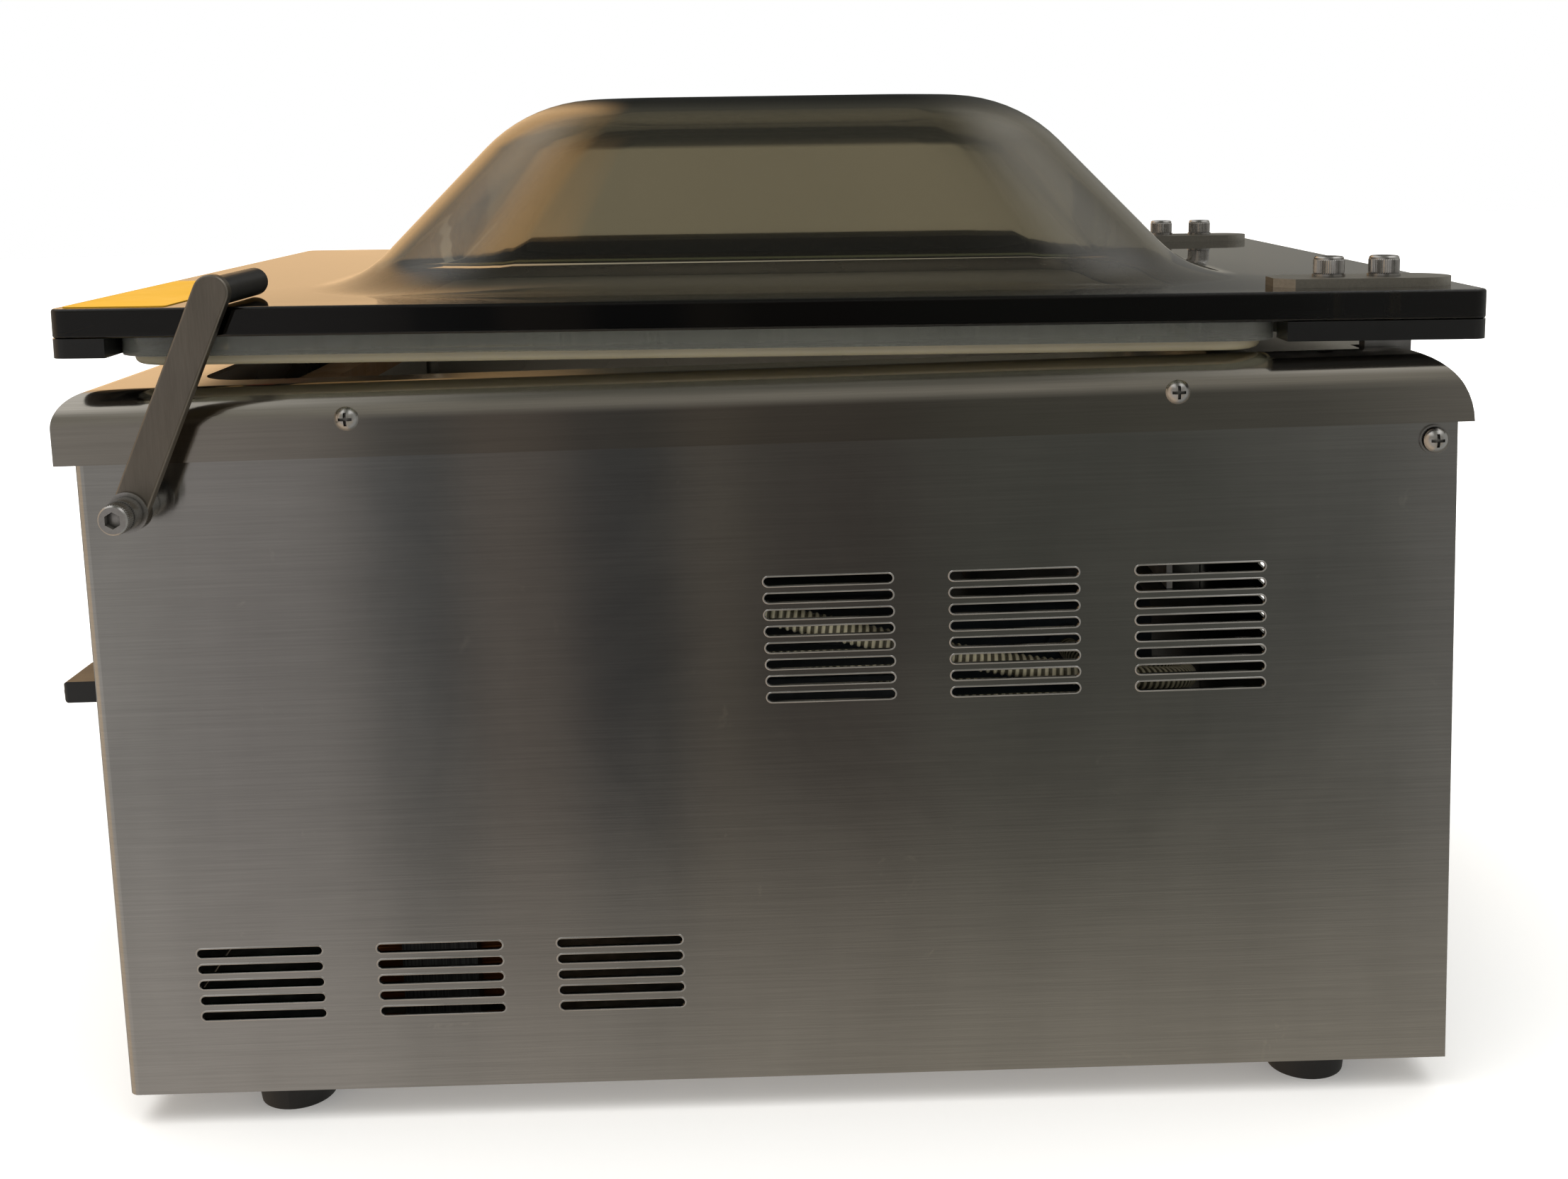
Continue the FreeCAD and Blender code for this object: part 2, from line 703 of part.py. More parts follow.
def make_gasket_frame():
    """Clear acrylic ring that carries the gasket."""
    out_x = lid_half_w - frame_inset_x
    outer = slab(-out_x, out_x, frame_front_y, frame_rear_y, frame_low_z, lid_low_z, frame_corner)
    frame = outer.cut(slab(-out_x + frame_side, out_x - frame_side, frame_front_y + frame_end,
                           frame_rear_y - frame_end, frame_low_z - 1, lid_low_z + 1, frame_corner))
    half = hinge_plate_width / 2 + strip_gap
    tools = []
    for x in (-hinge_x, hinge_x):
        tools.append(box(x - half, x + half, hinge_plate_front_y - strip_gap, frame_rear_y + 1,
                         frame_low_z + frame_thick - arm_foot_thick - strip_gap, lid_low_z + 1))
    return frame.cut(tools)


def gasket_edges():
    """Outer half width, front and rear of the gasket's outer edge."""
    return (tub_half_w + gasket_side_margin, chamber_front_y - gasket_end_margin,
            chamber_rear_y + gasket_end_margin)


def make_lid_gasket():
    """Silicone ring between the frame and the deck, with a rounded nose."""
    half, y0, y1 = gasket_edges()
    z0 = frame_low_z - gasket_height
    corner = frame_corner
    outer = slab(-half, half, y0, y1, z0, frame_low_z, corner)
    outer = outer.makeFillet(gasket_height * 0.6, [e for e in outer.Edges if e.BoundBox.ZMax < z0 + 0.01])
    w = gasket_width
    inner = slab(-half + w, half - w, y0 + w, y1 - w, z0 - 1, frame_low_z + 1, corner - w / 2)
    return outer.cut(inner)


def make_counter_bar():
    """Bar under the lid that the seal bar presses against, grooved for the silicone strip."""
    half = seal_length / 2
    y0 = seal_bar_y - seal_width / 2
    bar = box(-half, half, y0, y0 + seal_width, lid_low_z - counter_bar_height, lid_low_z)
    w = counter_strip_width / 2 + press_clear
    low = lid_low_z - counter_bar_height
    groove = box(-half - 1, half + 1, seal_bar_y - w, seal_bar_y + w, low - 1,
                 low + counter_strip_thick / 2)
    return bar.cut(groove)


def make_counter_strip():
    half = seal_length / 2
    low = lid_low_z - counter_bar_height
    w = counter_strip_width / 2
    z1 = low + counter_strip_thick / 2
    return box(-half, half, seal_bar_y - w, seal_bar_y + w, z1 - counter_strip_thick, z1)


def make_hinge_plates():
    """Stainless straps on the lid, chamfered in front and round behind."""
    plates = []
    w = hinge_plate_width / 2
    y0 = hinge_plate_front_y
    y1 = y0 + hinge_plate_length
    chamfer = w * 0.55
    z0 = lid_top_z
    for x in (-hinge_x, hinge_x):
        edges = [Part.LineSegment(V(x - w, y1 - w, z0), V(x - w, y0 + chamfer, z0)).toShape(),
                 Part.LineSegment(V(x - w, y0 + chamfer, z0), V(x - w + chamfer, y0, z0)).toShape(),
                 Part.LineSegment(V(x - w + chamfer, y0, z0), V(x + w - chamfer, y0, z0)).toShape(),
                 Part.LineSegment(V(x + w - chamfer, y0, z0), V(x + w, y0 + chamfer, z0)).toShape(),
                 Part.LineSegment(V(x + w, y0 + chamfer, z0), V(x + w, y1 - w, z0)).toShape(),
                 Part.Arc(V(x + w, y1 - w, z0), V(x, y1, z0), V(x - w, y1 - w, z0)).toShape()]
        plate = Part.Face(Part.Wire(edges)).extrude(V(0, 0, hinge_plate_thick))
        plates.append(plate)
    holes = [rod(m6_shank + screw_clear, V(x, y, 0), V(x, y, 400)) for x, y in hinge_screw_places()]
    return group([plate.cut(holes) for plate in plates])


def make_hinge_arms():
    """Foot under the lid, neck through the deck, knuckle on the shaft and a tail for the spring."""
    arms = []
    foot_low = lid_low_z - arm_foot_thick
    w = hinge_plate_width / 2
    t = arm_thick / 2
    y0 = hinge_plate_front_y
    for x in (-hinge_x, hinge_x):
        foot = slab(x - w, x + w, y0, y0 + hinge_plate_length, foot_low, lid_low_z, 3.0)
        neck = box(x - t, x + t, hinge_y - arm_neck / 2, hinge_y + arm_neck / 2, hinge_z, foot_low + 1)
        knuckle = rod(arm_knuckle_radius, V(x - t, hinge_y, hinge_z), V(x + t, hinge_y, hinge_z))
        tail_z = hinge_z - arm_tail
        tail = box(x - t, x + t, hinge_y - arm_tail_radius, hinge_y + arm_tail_radius, tail_z, hinge_z)
        tip = rod(arm_tail_radius, V(x - t, hinge_y, tail_z), V(x + t, hinge_y, tail_z))
        arms.append(joined([foot, neck, knuckle, tail, tip]))
    tools = [rod(shaft_radius + running_clear + bush_wall + press_clear, V(-200, hinge_y, hinge_z),
                 V(200, hinge_y, hinge_z)),
             rod(1.6, V(-200, hinge_y, hinge_z - arm_tail), V(200, hinge_y, hinge_z - arm_tail))]
    for x, y in hinge_screw_places():
        tools.append(rod(m6_shank + thread_clear, V(x, y, foot_low), V(x, y, 400)))
    return group([arm.cut(tools) for arm in arms])


def make_hinge_bushes():
    """Bronze bushes pressed in the arms, which turn on the shaft."""
    inner = shaft_radius + running_clear
    t = arm_thick / 2
    return group([ring(inner + bush_wall, inner, V(x - t, hinge_y, hinge_z), V(x + t, hinge_y, hinge_z))
                  for x in (-hinge_x, hinge_x)])


def make_hinge_screws():
    length = washer_thick + hinge_plate_thick + lid_thick + arm_foot_thick - 0.5
    z = lid_top_z + hinge_plate_thick + washer_thick
    return group([placed(socket_screw(length), V(x, y, z), Z_AXIS) for x, y in hinge_screw_places()])


def make_hinge_washers():
    z = lid_top_z + hinge_plate_thick
    return group([ring(m6_head + 0.6, m6_shank + screw_clear, V(x, y, z), V(x, y, z + washer_thick))
                  for x, y in hinge_screw_places()])


def make_lid_label():
    """Plain blank label on the front right of the lid."""
    x1 = lid_half_w - label_right_gap
    y0 = lid_front_y + label_front_gap
    return slab(x1 - label_width, x1, y0, y0 + label_depth, lid_top_z, lid_top_z + label_thick, 2.0)


# ---------------------------------------------------------------- lever
def make_lever_arm():
    """Flat bar, round at both ends, modelled upright over its pivot."""
    w = lever_width / 2
    top = lever_z + lever_length
    bar = box(lever_in_x, lever_out_x, lever_y - w, lever_y + w, lever_z, top)
    ends = [rod(w, V(lever_in_x, lever_y, z), V(lever_out_x, lever_y, z)) for z in (lever_z, top)]
    bar = joined([bar] + ends)
    bar = bar.cut(rod(m6_shank + running_clear, V(0, lever_y, lever_z), V(300, lever_y, lever_z)))
    rims = [e for e in bar.Edges if e.BoundBox.XLength < 0.01 and abs(e.BoundBox.XMin - lever_out_x) < 0.01]
    rims = [e for e in rims if e.BoundBox.ZLength > 2 * m6_shank + 1
            or e.BoundBox.YLength > 2 * m6_shank + 1]
    return bar.makeFillet(0.8, rims)


def make_lever_rod():
    """Press rod that reaches inwards over the lid."""
    top = lever_z + lever_length
    bar = rod(lever_rod_radius, V(lever_in_x - lever_rod_length, lever_y, top), V(lever_in_x, lever_y, top))
    end = [e for e in bar.Edges if len(e.Vertexes) == 1
           and abs(e.BoundBox.XMax - lever_in_x + lever_rod_length) < 0.01]
    return bar.makeFillet(1.5, end)


def make_lever_spacers():
    """Spacer against the case, a washer each side of the lever, and a sleeve under the bolt head."""
    inside = lever_in_x - axial_gap
    outside = lever_out_x + axial_gap
    stack = [(m6_head + 0.6, half_w, inside - washer_thick),
             (m6_head + 2.0, inside - washer_thick, inside),
             (m6_head + 2.0, outside, outside + washer_thick),
             (sleeve_radius, outside + washer_thick, outside + washer_thick + sleeve_length)]
    return group([ring(radius, m6_shank + screw_clear, V(x0, lever_y, lever_z), V(x1, lever_y, lever_z))
                  for radius, x0, x1 in stack])


def lever_head_x():
    return lever_out_x + axial_gap + washer_thick + sleeve_length


def make_lever_bolt():
    length = lever_head_x() - inner_w + 10.0
    return placed(socket_screw(length), V(lever_head_x(), lever_y, lever_z), X_AXIS)


def make_lever_nut():
    """Hexagon nut inside the case wall."""
    corner = m6_head / math.cos(math.radians(30))
    points = [V(inner_w, lever_y + corner * math.cos(math.radians(60 * i)),
                lever_z + corner * math.sin(math.radians(60 * i))) for i in range(6)]
    nut = outline(points, V(-m6_head, 0, 0))
    return nut.cut(rod(m6_shank + thread_clear, V(0, lever_y, lever_z), V(300, lever_y, lever_z)))


# ---------------------------------------------------------------- seal bar
def make_seal_bar():
    half = seal_length / 2
    y0 = seal_bar_y - seal_width / 2
    bar = box(-half, half, y0, y0 + seal_width, seal_low_z, seal_top_z)
    top = [e for e in bar.Edges if e.BoundBox.ZMin > seal_top_z - 0.01 and e.BoundBox.XLength > 10]
    bar = bar.makeFillet(2.0, top)
    channel = box(-half - 1, half + 1, y0 + 4, y0 + seal_width - 4, seal_low_z + 6, seal_top_z - 5)
    return bar.cut(channel)


def make_heating_strip():
    half = seal_length / 2 - 4
    return box(-half, half, seal_bar_y - 2.0, seal_bar_y + 2.0, seal_top_z, seal_top_z + 0.3)


def make_tape_cover():
    """Heat-resistant tape over the heating strip and down both sides of the bar."""
    half = seal_length / 2 - 1
    w = seal_width / 2
    tape = 0.4
    gap = 0.1
    top = seal_top_z + 0.4
    outer = box(-half, half, seal_bar_y - w - gap - tape, seal_bar_y + w + gap + tape, seal_top_z - 8,
                top + tape)
    inner = box(-half - 1, half + 1, seal_bar_y - w - gap, seal_bar_y + w + gap, seal_top_z - 9, top)
    return outer.cut(inner)


def make_piston_rods():
    """Two rods under the bar, each with its piston."""
    floor = piston_floor_z()
    rods = []
    for x in (-rod_spacing / 2, rod_spacing / 2):
        piston = rod(piston_radius, V(x, seal_bar_y, floor), V(x, seal_bar_y, floor + piston_thick))
        rods.append(piston.fuse(rod(rod_radius, V(x, seal_bar_y, floor), V(x, seal_bar_y, seal_low_z))))
    return group(rods)


def piston_floor_z():
    return tub_floor_z - tub_sheet - 3.0 - seal_stroke - piston_thick - 2.0


def make_seal_cylinders():
    """Vacuum cylinders under the chamber floor that lift the seal bar."""
    top = tub_floor_z - tub_sheet
    floor = piston_floor_z() - 0.5
    cylinders = []
    for x in (-rod_spacing / 2, rod_spacing / 2):
        body = rod(cylinder_radius, V(x, seal_bar_y, floor - 3.0), V(x, seal_bar_y, top))
        body = body.cut(rod(piston_radius + running_clear, V(x, seal_bar_y, floor),
                            V(x, seal_bar_y, top - 3.0)))
        body = body.cut(rod(rod_radius + running_clear, V(x, seal_bar_y, floor), V(x, seal_bar_y, top + 1)))
        cylinders.append(body)
    return group(cylinders)


# ---------------------------------------------------------------- front panel
def button_places():
    return [overlay_x + (i - 1.5) * button_pitch for i in range(4)]


def make_overlay():
    """Control panel plate with the display window and four button holes."""
    x0 = overlay_x - overlay_width / 2
    x1 = overlay_x + overlay_width / 2
    z0 = panel_z - overlay_height / 2
    plate = slab(x0, x1, z0, z0 + overlay_height, 0, overlay_thick, 4.0)
    plate = turned(plate, V(0, 0, 0), X_AXIS, 90)
    plate.translate(V(0, front_y, 0))
    tools = [rod(button_radius + screw_clear, V(x, front_y - 5, panel_z - button_drop),
                 V(x, front_y + 5, panel_z - button_drop)) for x in button_places()]
    half = display_width / 2 - 3
    tall = display_height / 2 - 3
    z = panel_z + display_rise
    tools.append(box(overlay_x - half, overlay_x + half, front_y - 5, front_y + 5, z - tall, z + tall))
    return plate.cut(tools)


def make_display_window():
    """Tinted window behind the opening of the control panel."""
    half = display_width / 2 - press_clear
    tall = display_height / 2 - press_clear
    z = panel_z + display_rise
    return box(overlay_x - half, overlay_x + half, front_y, front_y + 2 * case_sheet, z - tall, z + tall)


def make_button(x):
    """Round push button, flanged behind the panel."""
    z = panel_z - button_drop
    face = front_y - overlay_thick - button_proud
    back = front_y + case_sheet + button_travel + 2.0
    cap = rod(button_radius, V(x, face, z), V(x, back - 1.0, z))
    rim = [e for e in cap.Edges if len(e.Vertexes) == 1 and abs(e.BoundBox.YMax - face) < 0.01]
    cap = cap.makeFillet(0.8, rim)
    flange = rod(button_radius + 1.5, V(x, front_y + case_sheet + 0.2, z),
                 V(x, front_y + case_sheet + 1.4, z))
    return cap.fuse(flange)


def make_gauge_housing():
    """Vacuum gauge case with its bezel in front of the panel."""
    z = panel_z
    bezel = rod(gauge_radius + gauge_bezel, V(gauge_x, front_y - gauge_bezel_depth, z),
                V(gauge_x, front_y, z))
    rim = [e for e in bezel.Edges if len(e.Vertexes) == 1
           and abs(e.BoundBox.YMax - front_y + gauge_bezel_depth) < 0.01]
    bezel = bezel.makeFillet(2.0, rim)
    body = rod(gauge_radius, V(gauge_x, front_y, z), V(gauge_x, front_y + gauge_depth, z))
    stem = rod(6.0, V(gauge_x, front_y + gauge_depth, z), V(gauge_x, front_y + gauge_depth + 12, z))
    housing = bezel.fuse([body, stem])
    cavity = rod(gauge_radius - 2, V(gauge_x, front_y - gauge_bezel_depth - 1, z),
                 V(gauge_x, front_y + 8, z))
    spindle = rod(1.0 + running_clear, V(gauge_x, front_y, z), V(gauge_x, front_y + 14, z))
    return housing.cut([cavity, spindle])


def make_gauge_dial():
    y = front_y + 8 - 1.0
    return ring(gauge_radius - 2.1, 1.0 + running_clear, V(gauge_x, y, panel_z),
                V(gauge_x, y + 1.0, panel_z))


def make_gauge_lens():
    y = front_y - gauge_bezel_depth + 1.2
    return rod(gauge_radius - 2.02, V(gauge_x, y, panel_z), V(gauge_x, y + 1.5, panel_z))


def make_gauge_needle():
    """Pointer on a spindle that runs in the gauge case, pointing straight up at rest pressure."""
    y1 = front_y + 6.0
    y0 = y1 - 0.8
    long_end = gauge_radius - 8
    points = [V(gauge_x - 1.4, y0, panel_z - 8), V(gauge_x + 1.4, y0, panel_z - 8),
              V(gauge_x + 0.5, y0, panel_z + long_end), V(gauge_x - 0.5, y0, panel_z + long_end)]
    pointer = outline(points, V(0, y1 - y0, 0))
    hub = rod(3.0, V(gauge_x, y0 - 0.6, panel_z), V(gauge_x, y1, panel_z))
    spindle = rod(1.0, V(gauge_x, y0, panel_z), V(gauge_x, front_y + 13, panel_z))
    return joined([pointer, hub, spindle])


def make_switch_body():
    """Rotary main switch: a square plate in front and the contact block behind the panel."""
    half = knob_radius + 4
    y0 = front_y - knob_plate
    plate = slab(knob_x - half, knob_x + half, panel_z - half, panel_z + half, 0, knob_plate, 3.0)
    plate = turned(plate, V(0, 0, 0), X_AXIS, 90)
    plate.translate(V(0, front_y, 0))
    block = box(knob_x - half + 3, knob_x + half - 3, front_y + case_sheet, front_y + case_sheet + 30,
                panel_z - half + 3, panel_z + half - 3)
    neck = rod(m6_shank + screw_clear, V(knob_x, front_y, panel_z),
               V(knob_x, front_y + case_sheet, panel_z))
    body = joined([plate, neck, block])
    return body.cut(rod(2.0 + running_clear, V(knob_x, y0 - 1, panel_z), V(knob_x, front_y + 20, panel_z)))


def make_switch_knob():
    """Turning knob with a raised grip bar, which lies level when the machine is on, and its spindle."""
    y1 = front_y - knob_plate - knob_gap
    y0 = y1 - knob_length
    skirt = rod(knob_radius, V(knob_x, y1 - knob_skirt, panel_z), V(knob_x, y1, panel_z))
    reach = knob_radius - knob_rim
    grip = box(knob_x - reach, knob_x + reach, y0, y1 - knob_skirt / 2, panel_z - knob_grip / 2,
               panel_z + knob_grip / 2)
    grip = grip.makeFillet(2.0, [e for e in grip.Edges if e.BoundBox.YMax < y0 + 0.01])
    spindle = rod(2.0, V(knob_x, y1 - 1, panel_z), V(knob_x, front_y + 19, panel_z))
    return joined([skirt, grip, spindle])


def make_control_board():
    """Printed board on its stand-offs' plane, with a relay and a display block."""
    y0 = front_y + case_sheet + board_gap
    half_x = overlay_width / 2 - 6
    z0 = panel_z - overlay_height / 2 + 4
    z1 = panel_z + overlay_height / 2 - 4
    board = box(overlay_x - half_x, overlay_x + half_x, y0, y0 + board_thick, z0, z1)
    relays = [box(overlay_x - half_x + 8 + i * 26, overlay_x - half_x + 26 + i * 26, y0 + board_thick,
                  y0 + board_thick + 14, z0 + 8, z0 + 24) for i in range(4)]
    face = front_y + 2 * case_sheet + 0.4
    digits = box(overlay_x - 26, overlay_x + 26, face, y0, panel_z + display_rise - 10,
                 panel_z + display_rise + 10)
    switches = [rod(2.5, V(x, front_y + case_sheet + button_travel + 5, panel_z - button_drop),
                    V(x, y0, panel_z - button_drop)) for x in button_places()]
    return group([joined([board, digits] + relays + switches)] + board_posts())


def board_posts():
    """Four spacers between the front wall and the board."""
    y0 = front_y + case_sheet
    half_x = overlay_width / 2 - 11
    posts = []
    for x in (overlay_x - half_x, overlay_x + half_x):
        for z in (panel_z - overlay_height / 2 + 9, panel_z + overlay_height / 2 - 9):
            posts.append(rod(3.0, V(x, y0, z), V(x, y0 + board_gap, z)))
    return posts


# ---------------------------------------------------------------- rear sockets
def make_power_inlet():
    """Mains inlet with its flange outside and three blades in the recess."""
    x, z = inlet_place()
    y = rear_y - panel_gap
    flange = box(x - 17, x + 17, y, y + 3, z - 13, z + 13)
    flange = flange.makeFillet(2.5, [e for e in flange.Edges if e.BoundBox.YLength > 1])
    body = box(x - 14 + 0.1, x + 14 - 0.1, y - 20, y + 1, z - 10 + 0.1, z + 10 - 0.1)
    inlet = flange.fuse(body).removeSplitter()
    inlet = inlet.cut(box(x - 12, x + 12, y - 15, y + 4, z - 8, z + 8))
    blades = [box(x + dx - 2, x + dx + 2, y - 16, y - 3, z + dz - 1, z + dz + 1)
              for dx, dz in ((-7, -2), (7, -2), (0, 3))]
    return inlet.fuse(blades)


def make_fuse_holder():
    x, z = inlet_place()
    x -= 34
    y = rear_y - panel_gap
    cap = rod(8.0, V(x, y, z), V(x, y + 5, z))
    rim = [e for e in cap.Edges if len(e.Vertexes) == 1 and abs(e.BoundBox.YMin - y - 5) < 0.01]
    cap = cap.makeChamfer(1.0, rim)
    cap = cap.cut(box(x - 6, x + 6, y + 3.5, y + 6, z - 0.8, z + 0.8))
    return cap.fuse(rod(6.0, V(x, y - 26, z), V(x, y, z)))


# ---------------------------------------------------------------- insides
def make_pump_rails():
    """Two folded rails on the base plate under the pump and its motor."""
    rails = []
    z0 = base_z + case_sheet
    y0 = pump_front_y - motor_length + 16
    y1 = pump_front_y + pump_depth - 4
    for x in (pump_x - pump_width / 4, pump_x + pump_width / 4):
        rail = box(x - rail_width / 2, x + rail_width / 2, y0, y1, z0, pump_base_z)
        half = rail_width / 2 - rail_sheet
        rail = rail.cut(box(x - half, x + half, y0 - 1, y1 + 1, z0 - 1, pump_base_z - rail_sheet))
        rails.append(rail)
    return group(rails)


def make_pump_body():
    """Oil-filled rotary vane pump block with cooling ribs and a suction boss."""
    x0 = pump_x - pump_width / 2
    x1 = pump_x + pump_width / 2
    y0 = pump_front_y
    y1 = y0 + pump_depth
    z1 = pump_base_z + pump_height
    block = box(x0, x1, y0, y1, pump_base_z, z1)
    block = block.makeFillet(8.0, [e for e in block.Edges if e.BoundBox.YLength > 10])
    ribs = [box(x0 - 3, x0 + 2, y0 + 10 + i * 14, y0 + 15 + i * 14, pump_base_z + 14, z1 - 14)
            for i in range(6)]
    port = hose_route()[-1]
    boss = rod(9.0, V(x1 - 4, port.y, port.z), V(x1 + 6, port.y, port.z))
    body = joined([block, boss] + ribs)
    tools = [rod(hose_radius + thread_clear, V(x1 - 8, port.y, port.z), V(x1 + 7, port.y, port.z)),
             rod(filter_thread() + thread_clear, V(pump_x, pump_middle_y(), z1 - 8),
                 V(pump_x, pump_middle_y(), z1 + 1))]
    return body.cut(tools)


def pump_middle_y():
    return pump_front_y + pump_depth / 2


def filter_thread():
    return filter_radius * 0.5


def make_pump_motor():
    """Finned motor flanged to the front of the pump, standing on the rails."""
    z = pump_base_z + motor_radius + 4
    y1 = pump_front_y
    y0 = y1 - motor_length
    motor = rod(motor_radius - 4, V(pump_x, y0, z), V(pump_x, y1, z))
    flange = rod(motor_radius, V(pump_x, y1 - 8, z), V(pump_x, y1, z))
    shroud = rod(motor_radius, V(pump_x, y0, z), V(pump_x, y0 + 24, z))
    fins = []
    for i in range(24):
        fin = box(pump_x - 1, pump_x + 1, y0 + 20, y1 - 6, z + motor_radius - 6, z + motor_radius)
        fins.append(turned(fin, V(pump_x, 0, z), Y_AXIS, i * 15))
    foot = box(pump_x - pump_width / 4 - 8, pump_x + pump_width / 4 + 8, y0 + 30, y1 - 24, pump_base_z,
               z - 30)
    return joined([motor, flange, shroud, foot] + fins)


def make_exhaust_filter():
    """Oil mist filter screwed in the top of the pump."""
    z = pump_base_z + pump_height
    y = pump_middle_y()
    can = rod(filter_radius, V(pump_x, y, z), V(pump_x, y, z + filter_height))
    can = can.makeFillet(5.0, [e for e in can.Edges if len(e.Vertexes) == 1 and e.BoundBox.ZMin > z + 1])
    return can.fuse(rod(filter_thread(), V(pump_x, y, z - 7), V(pump_x, y, z)))


def make_transformer_core():
    """Laminated core of the sealing transformer, with the two windows for its coil."""
    x = transformer_x
    y = transformer_y
    w = transformer_width / 2
    d = transformer_depth / 2
    z0 = base_z + case_sheet
    core = box(x - w, x + w, y - d / 2, y + d / 2, z0, z0 + transformer_height)
    leg = w / 4
    windows = [box(x + side * w / 2 - leg, x + side * w / 2 + leg, y - d, y + d, z0 + 12,
                   z0 + transformer_height - 12) for side in (-1, 1)]
    return core.cut(windows)


def make_transformer_coil():
    x = transformer_x
    y = transformer_y
    w = transformer_width / 2
    d = transformer_depth / 2
    z0 = base_z + case_sheet + 12.5
    z1 = base_z + case_sheet + transformer_height - 12.5
    out_x = w / 2 + w / 4 - 0.5
    coil = slab(x - out_x, x + out_x, y - d, y + d, z0, z1, 4.0)
    hole = box(x - w / 4 - 0.2, x + w / 4 + 0.2, y - d / 2 - 0.2, y + d / 2 + 0.2, z0 - 1, z1 + 1)
    return coil.cut(hole)


def make_valves():
    """Solenoid valves for suction, sealing and air return, on the base plate."""
    valves = []
    z0 = base_z + case_sheet
    s = valve_size / 2
    for i in (-1, 0, 1):
        y = valve_y + i * valve_pitch
        block = box(valve_x - s, valve_x + s, y - s, y + s, z0, z0 + valve_height * 0.45)
        coil = slab(valve_x - s + 2, valve_x + s - 2, y - s + 2, y + s - 2, z0 + valve_height * 0.45,
                    z0 + valve_height, 4.0)
        cap = rod(6.0, V(valve_x, y, z0 + valve_height), V(valve_x, y, z0 + valve_height + 5))
        valves.append(joined([block, coil, cap]))
    return group(valves)


def hose_route():
    """Middle line of the suction hose, from under the chamber to the pump's suction boss."""
    start = V(tub_half_w - 43, -70, tub_floor_z)
    pump_side = pump_x + pump_width / 2
    return [start, V(start.x, start.y, 186), V(tub_half_w - 22, -42, 180), V(tub_half_w + 1, -14, 180),
            V(tub_half_w + 5, 22, 171), V(tub_half_w + 5, 72, 158), V(tub_half_w + 5, 120, 150),
            V(tub_half_w - 12, 152, 143), V(tub_half_w - 46, 158, 136),
            V(pump_side + 44, 136, 131), V(pump_side + 22, 122, 130), V(pump_side, 122, 130)]


def rounded_path(points, share):
    """Straight runs joined by tangent arcs, each as large as its two runs allow."""
    edges = []
    radii = []
    last = points[0]
    for before, corner, after in zip(points, points[1:], points[2:]):
        inward = before.sub(corner)
        outward = after.sub(corner)
        short = min(inward.Length, outward.Length)
        inward.normalize()
        outward.normalize()
        turn = math.pi - inward.getAngle(outward)
        reach = share * short
        radius = reach / math.tan(turn / 2)
        start = corner.add(inward * reach)
        end = corner.add(outward * reach)
        towards = (inward + outward).normalize()
        centre_distance = radius / math.cos(turn / 2)
        middle = corner.add(towards * (centre_distance - radius))
        edges.append(Part.LineSegment(last, start).toShape())
        edges.append(Part.Arc(start, middle, end).toShape())
        radii.append(radius)
        last = end
    edges.append(Part.LineSegment(last, points[-1]).toShape())
    return Part.Wire(edges), radii


def make_hose():
    """Wire-wound suction hose, hollow along its whole route."""
    path, radii = rounded_path(hose_route(), 0.45)
    start = path.Edges[0].firstVertex().Point
    direction = V(0, 0, -1)
    tubes = []
    for radius in (hose_radius, hose_bore):
        circle = Part.Wire(Part.makeCircle(radius, start, direction))
        tubes.append(path.makePipeShell([circle], True, False))
    print("hose length %.1f mm, tightest bend %.1f mm" % (path.Length, min(radii)))
    return tubes[0].cut(tubes[1])


def spring_place(x):
    """Ends of one lid spring: the arm's tail and the anchor in front of it."""
    tail = V(x, hinge_y, hinge_z - arm_tail)
    anchor = V(x, hinge_y - spring_reach, hinge_z - arm_tail - spring_drop)
    return tail, anchor


def make_lid_springs():
    """Extension springs that pull the tails of the hinge arms forwards."""
    springs = []
    for x in (-hinge_x, hinge_x):
        tail, anchor = spring_place(x)
        run = anchor.sub(tail)
        unit = V(run.x, run.y, run.z).normalize()
        first = tail.add(unit * spring_end)
        coil_length = run.Length - 2 * spring_end
        helix = Part.makeHelix(spring_pitch, coil_length, spring_radius)
        rise = spring_pitch / (2 * math.pi * spring_radius)
        circle = Part.Wire(Part.makeCircle(spring_wire, V(spring_radius, 0, 0), V(0, 1, rise)))
        coil = Part.Wire(helix.Edges).makePipeShell([circle], True, True)
        springs.append(placed(coil, first, unit))
    return group(springs)


def make_spring_anchors():
    """Angle brackets under the chamber that hold the front ends of the lid springs."""
    anchors = []
    top = tub_floor_z - tub_sheet
    half = anchor_width / 2
    for side in (-1, 1):
        anchor = spring_place(side * hinge_x)[1]
        inner = min(hinge_x - half, tub_half_w - chamber_corner - anchor_width)
        ends = (side * (hinge_x + half), side * inner)
        rear = anchor.y - spring_radius / 4
        plate = box(min(ends), max(ends), rear - anchor_foot, rear, top - anchor_sheet, top)
        leg = box(min(ends), max(ends), rear - anchor_sheet, rear, anchor.z - half, top)
        anchors.append(joined([plate, leg]))
    return group(anchors)


# ---------------------------------------------------------------- assembly
def lid_at_rest(shape):
    return turned(shape, V(0, hinge_y, hinge_z), V(-1, 0, 0), lid_rest_deg)


def lever_at_rest(shape):
    return turned(shape, V(0, lever_y, lever_z), V(-1, 0, 0), lever_lean_deg)


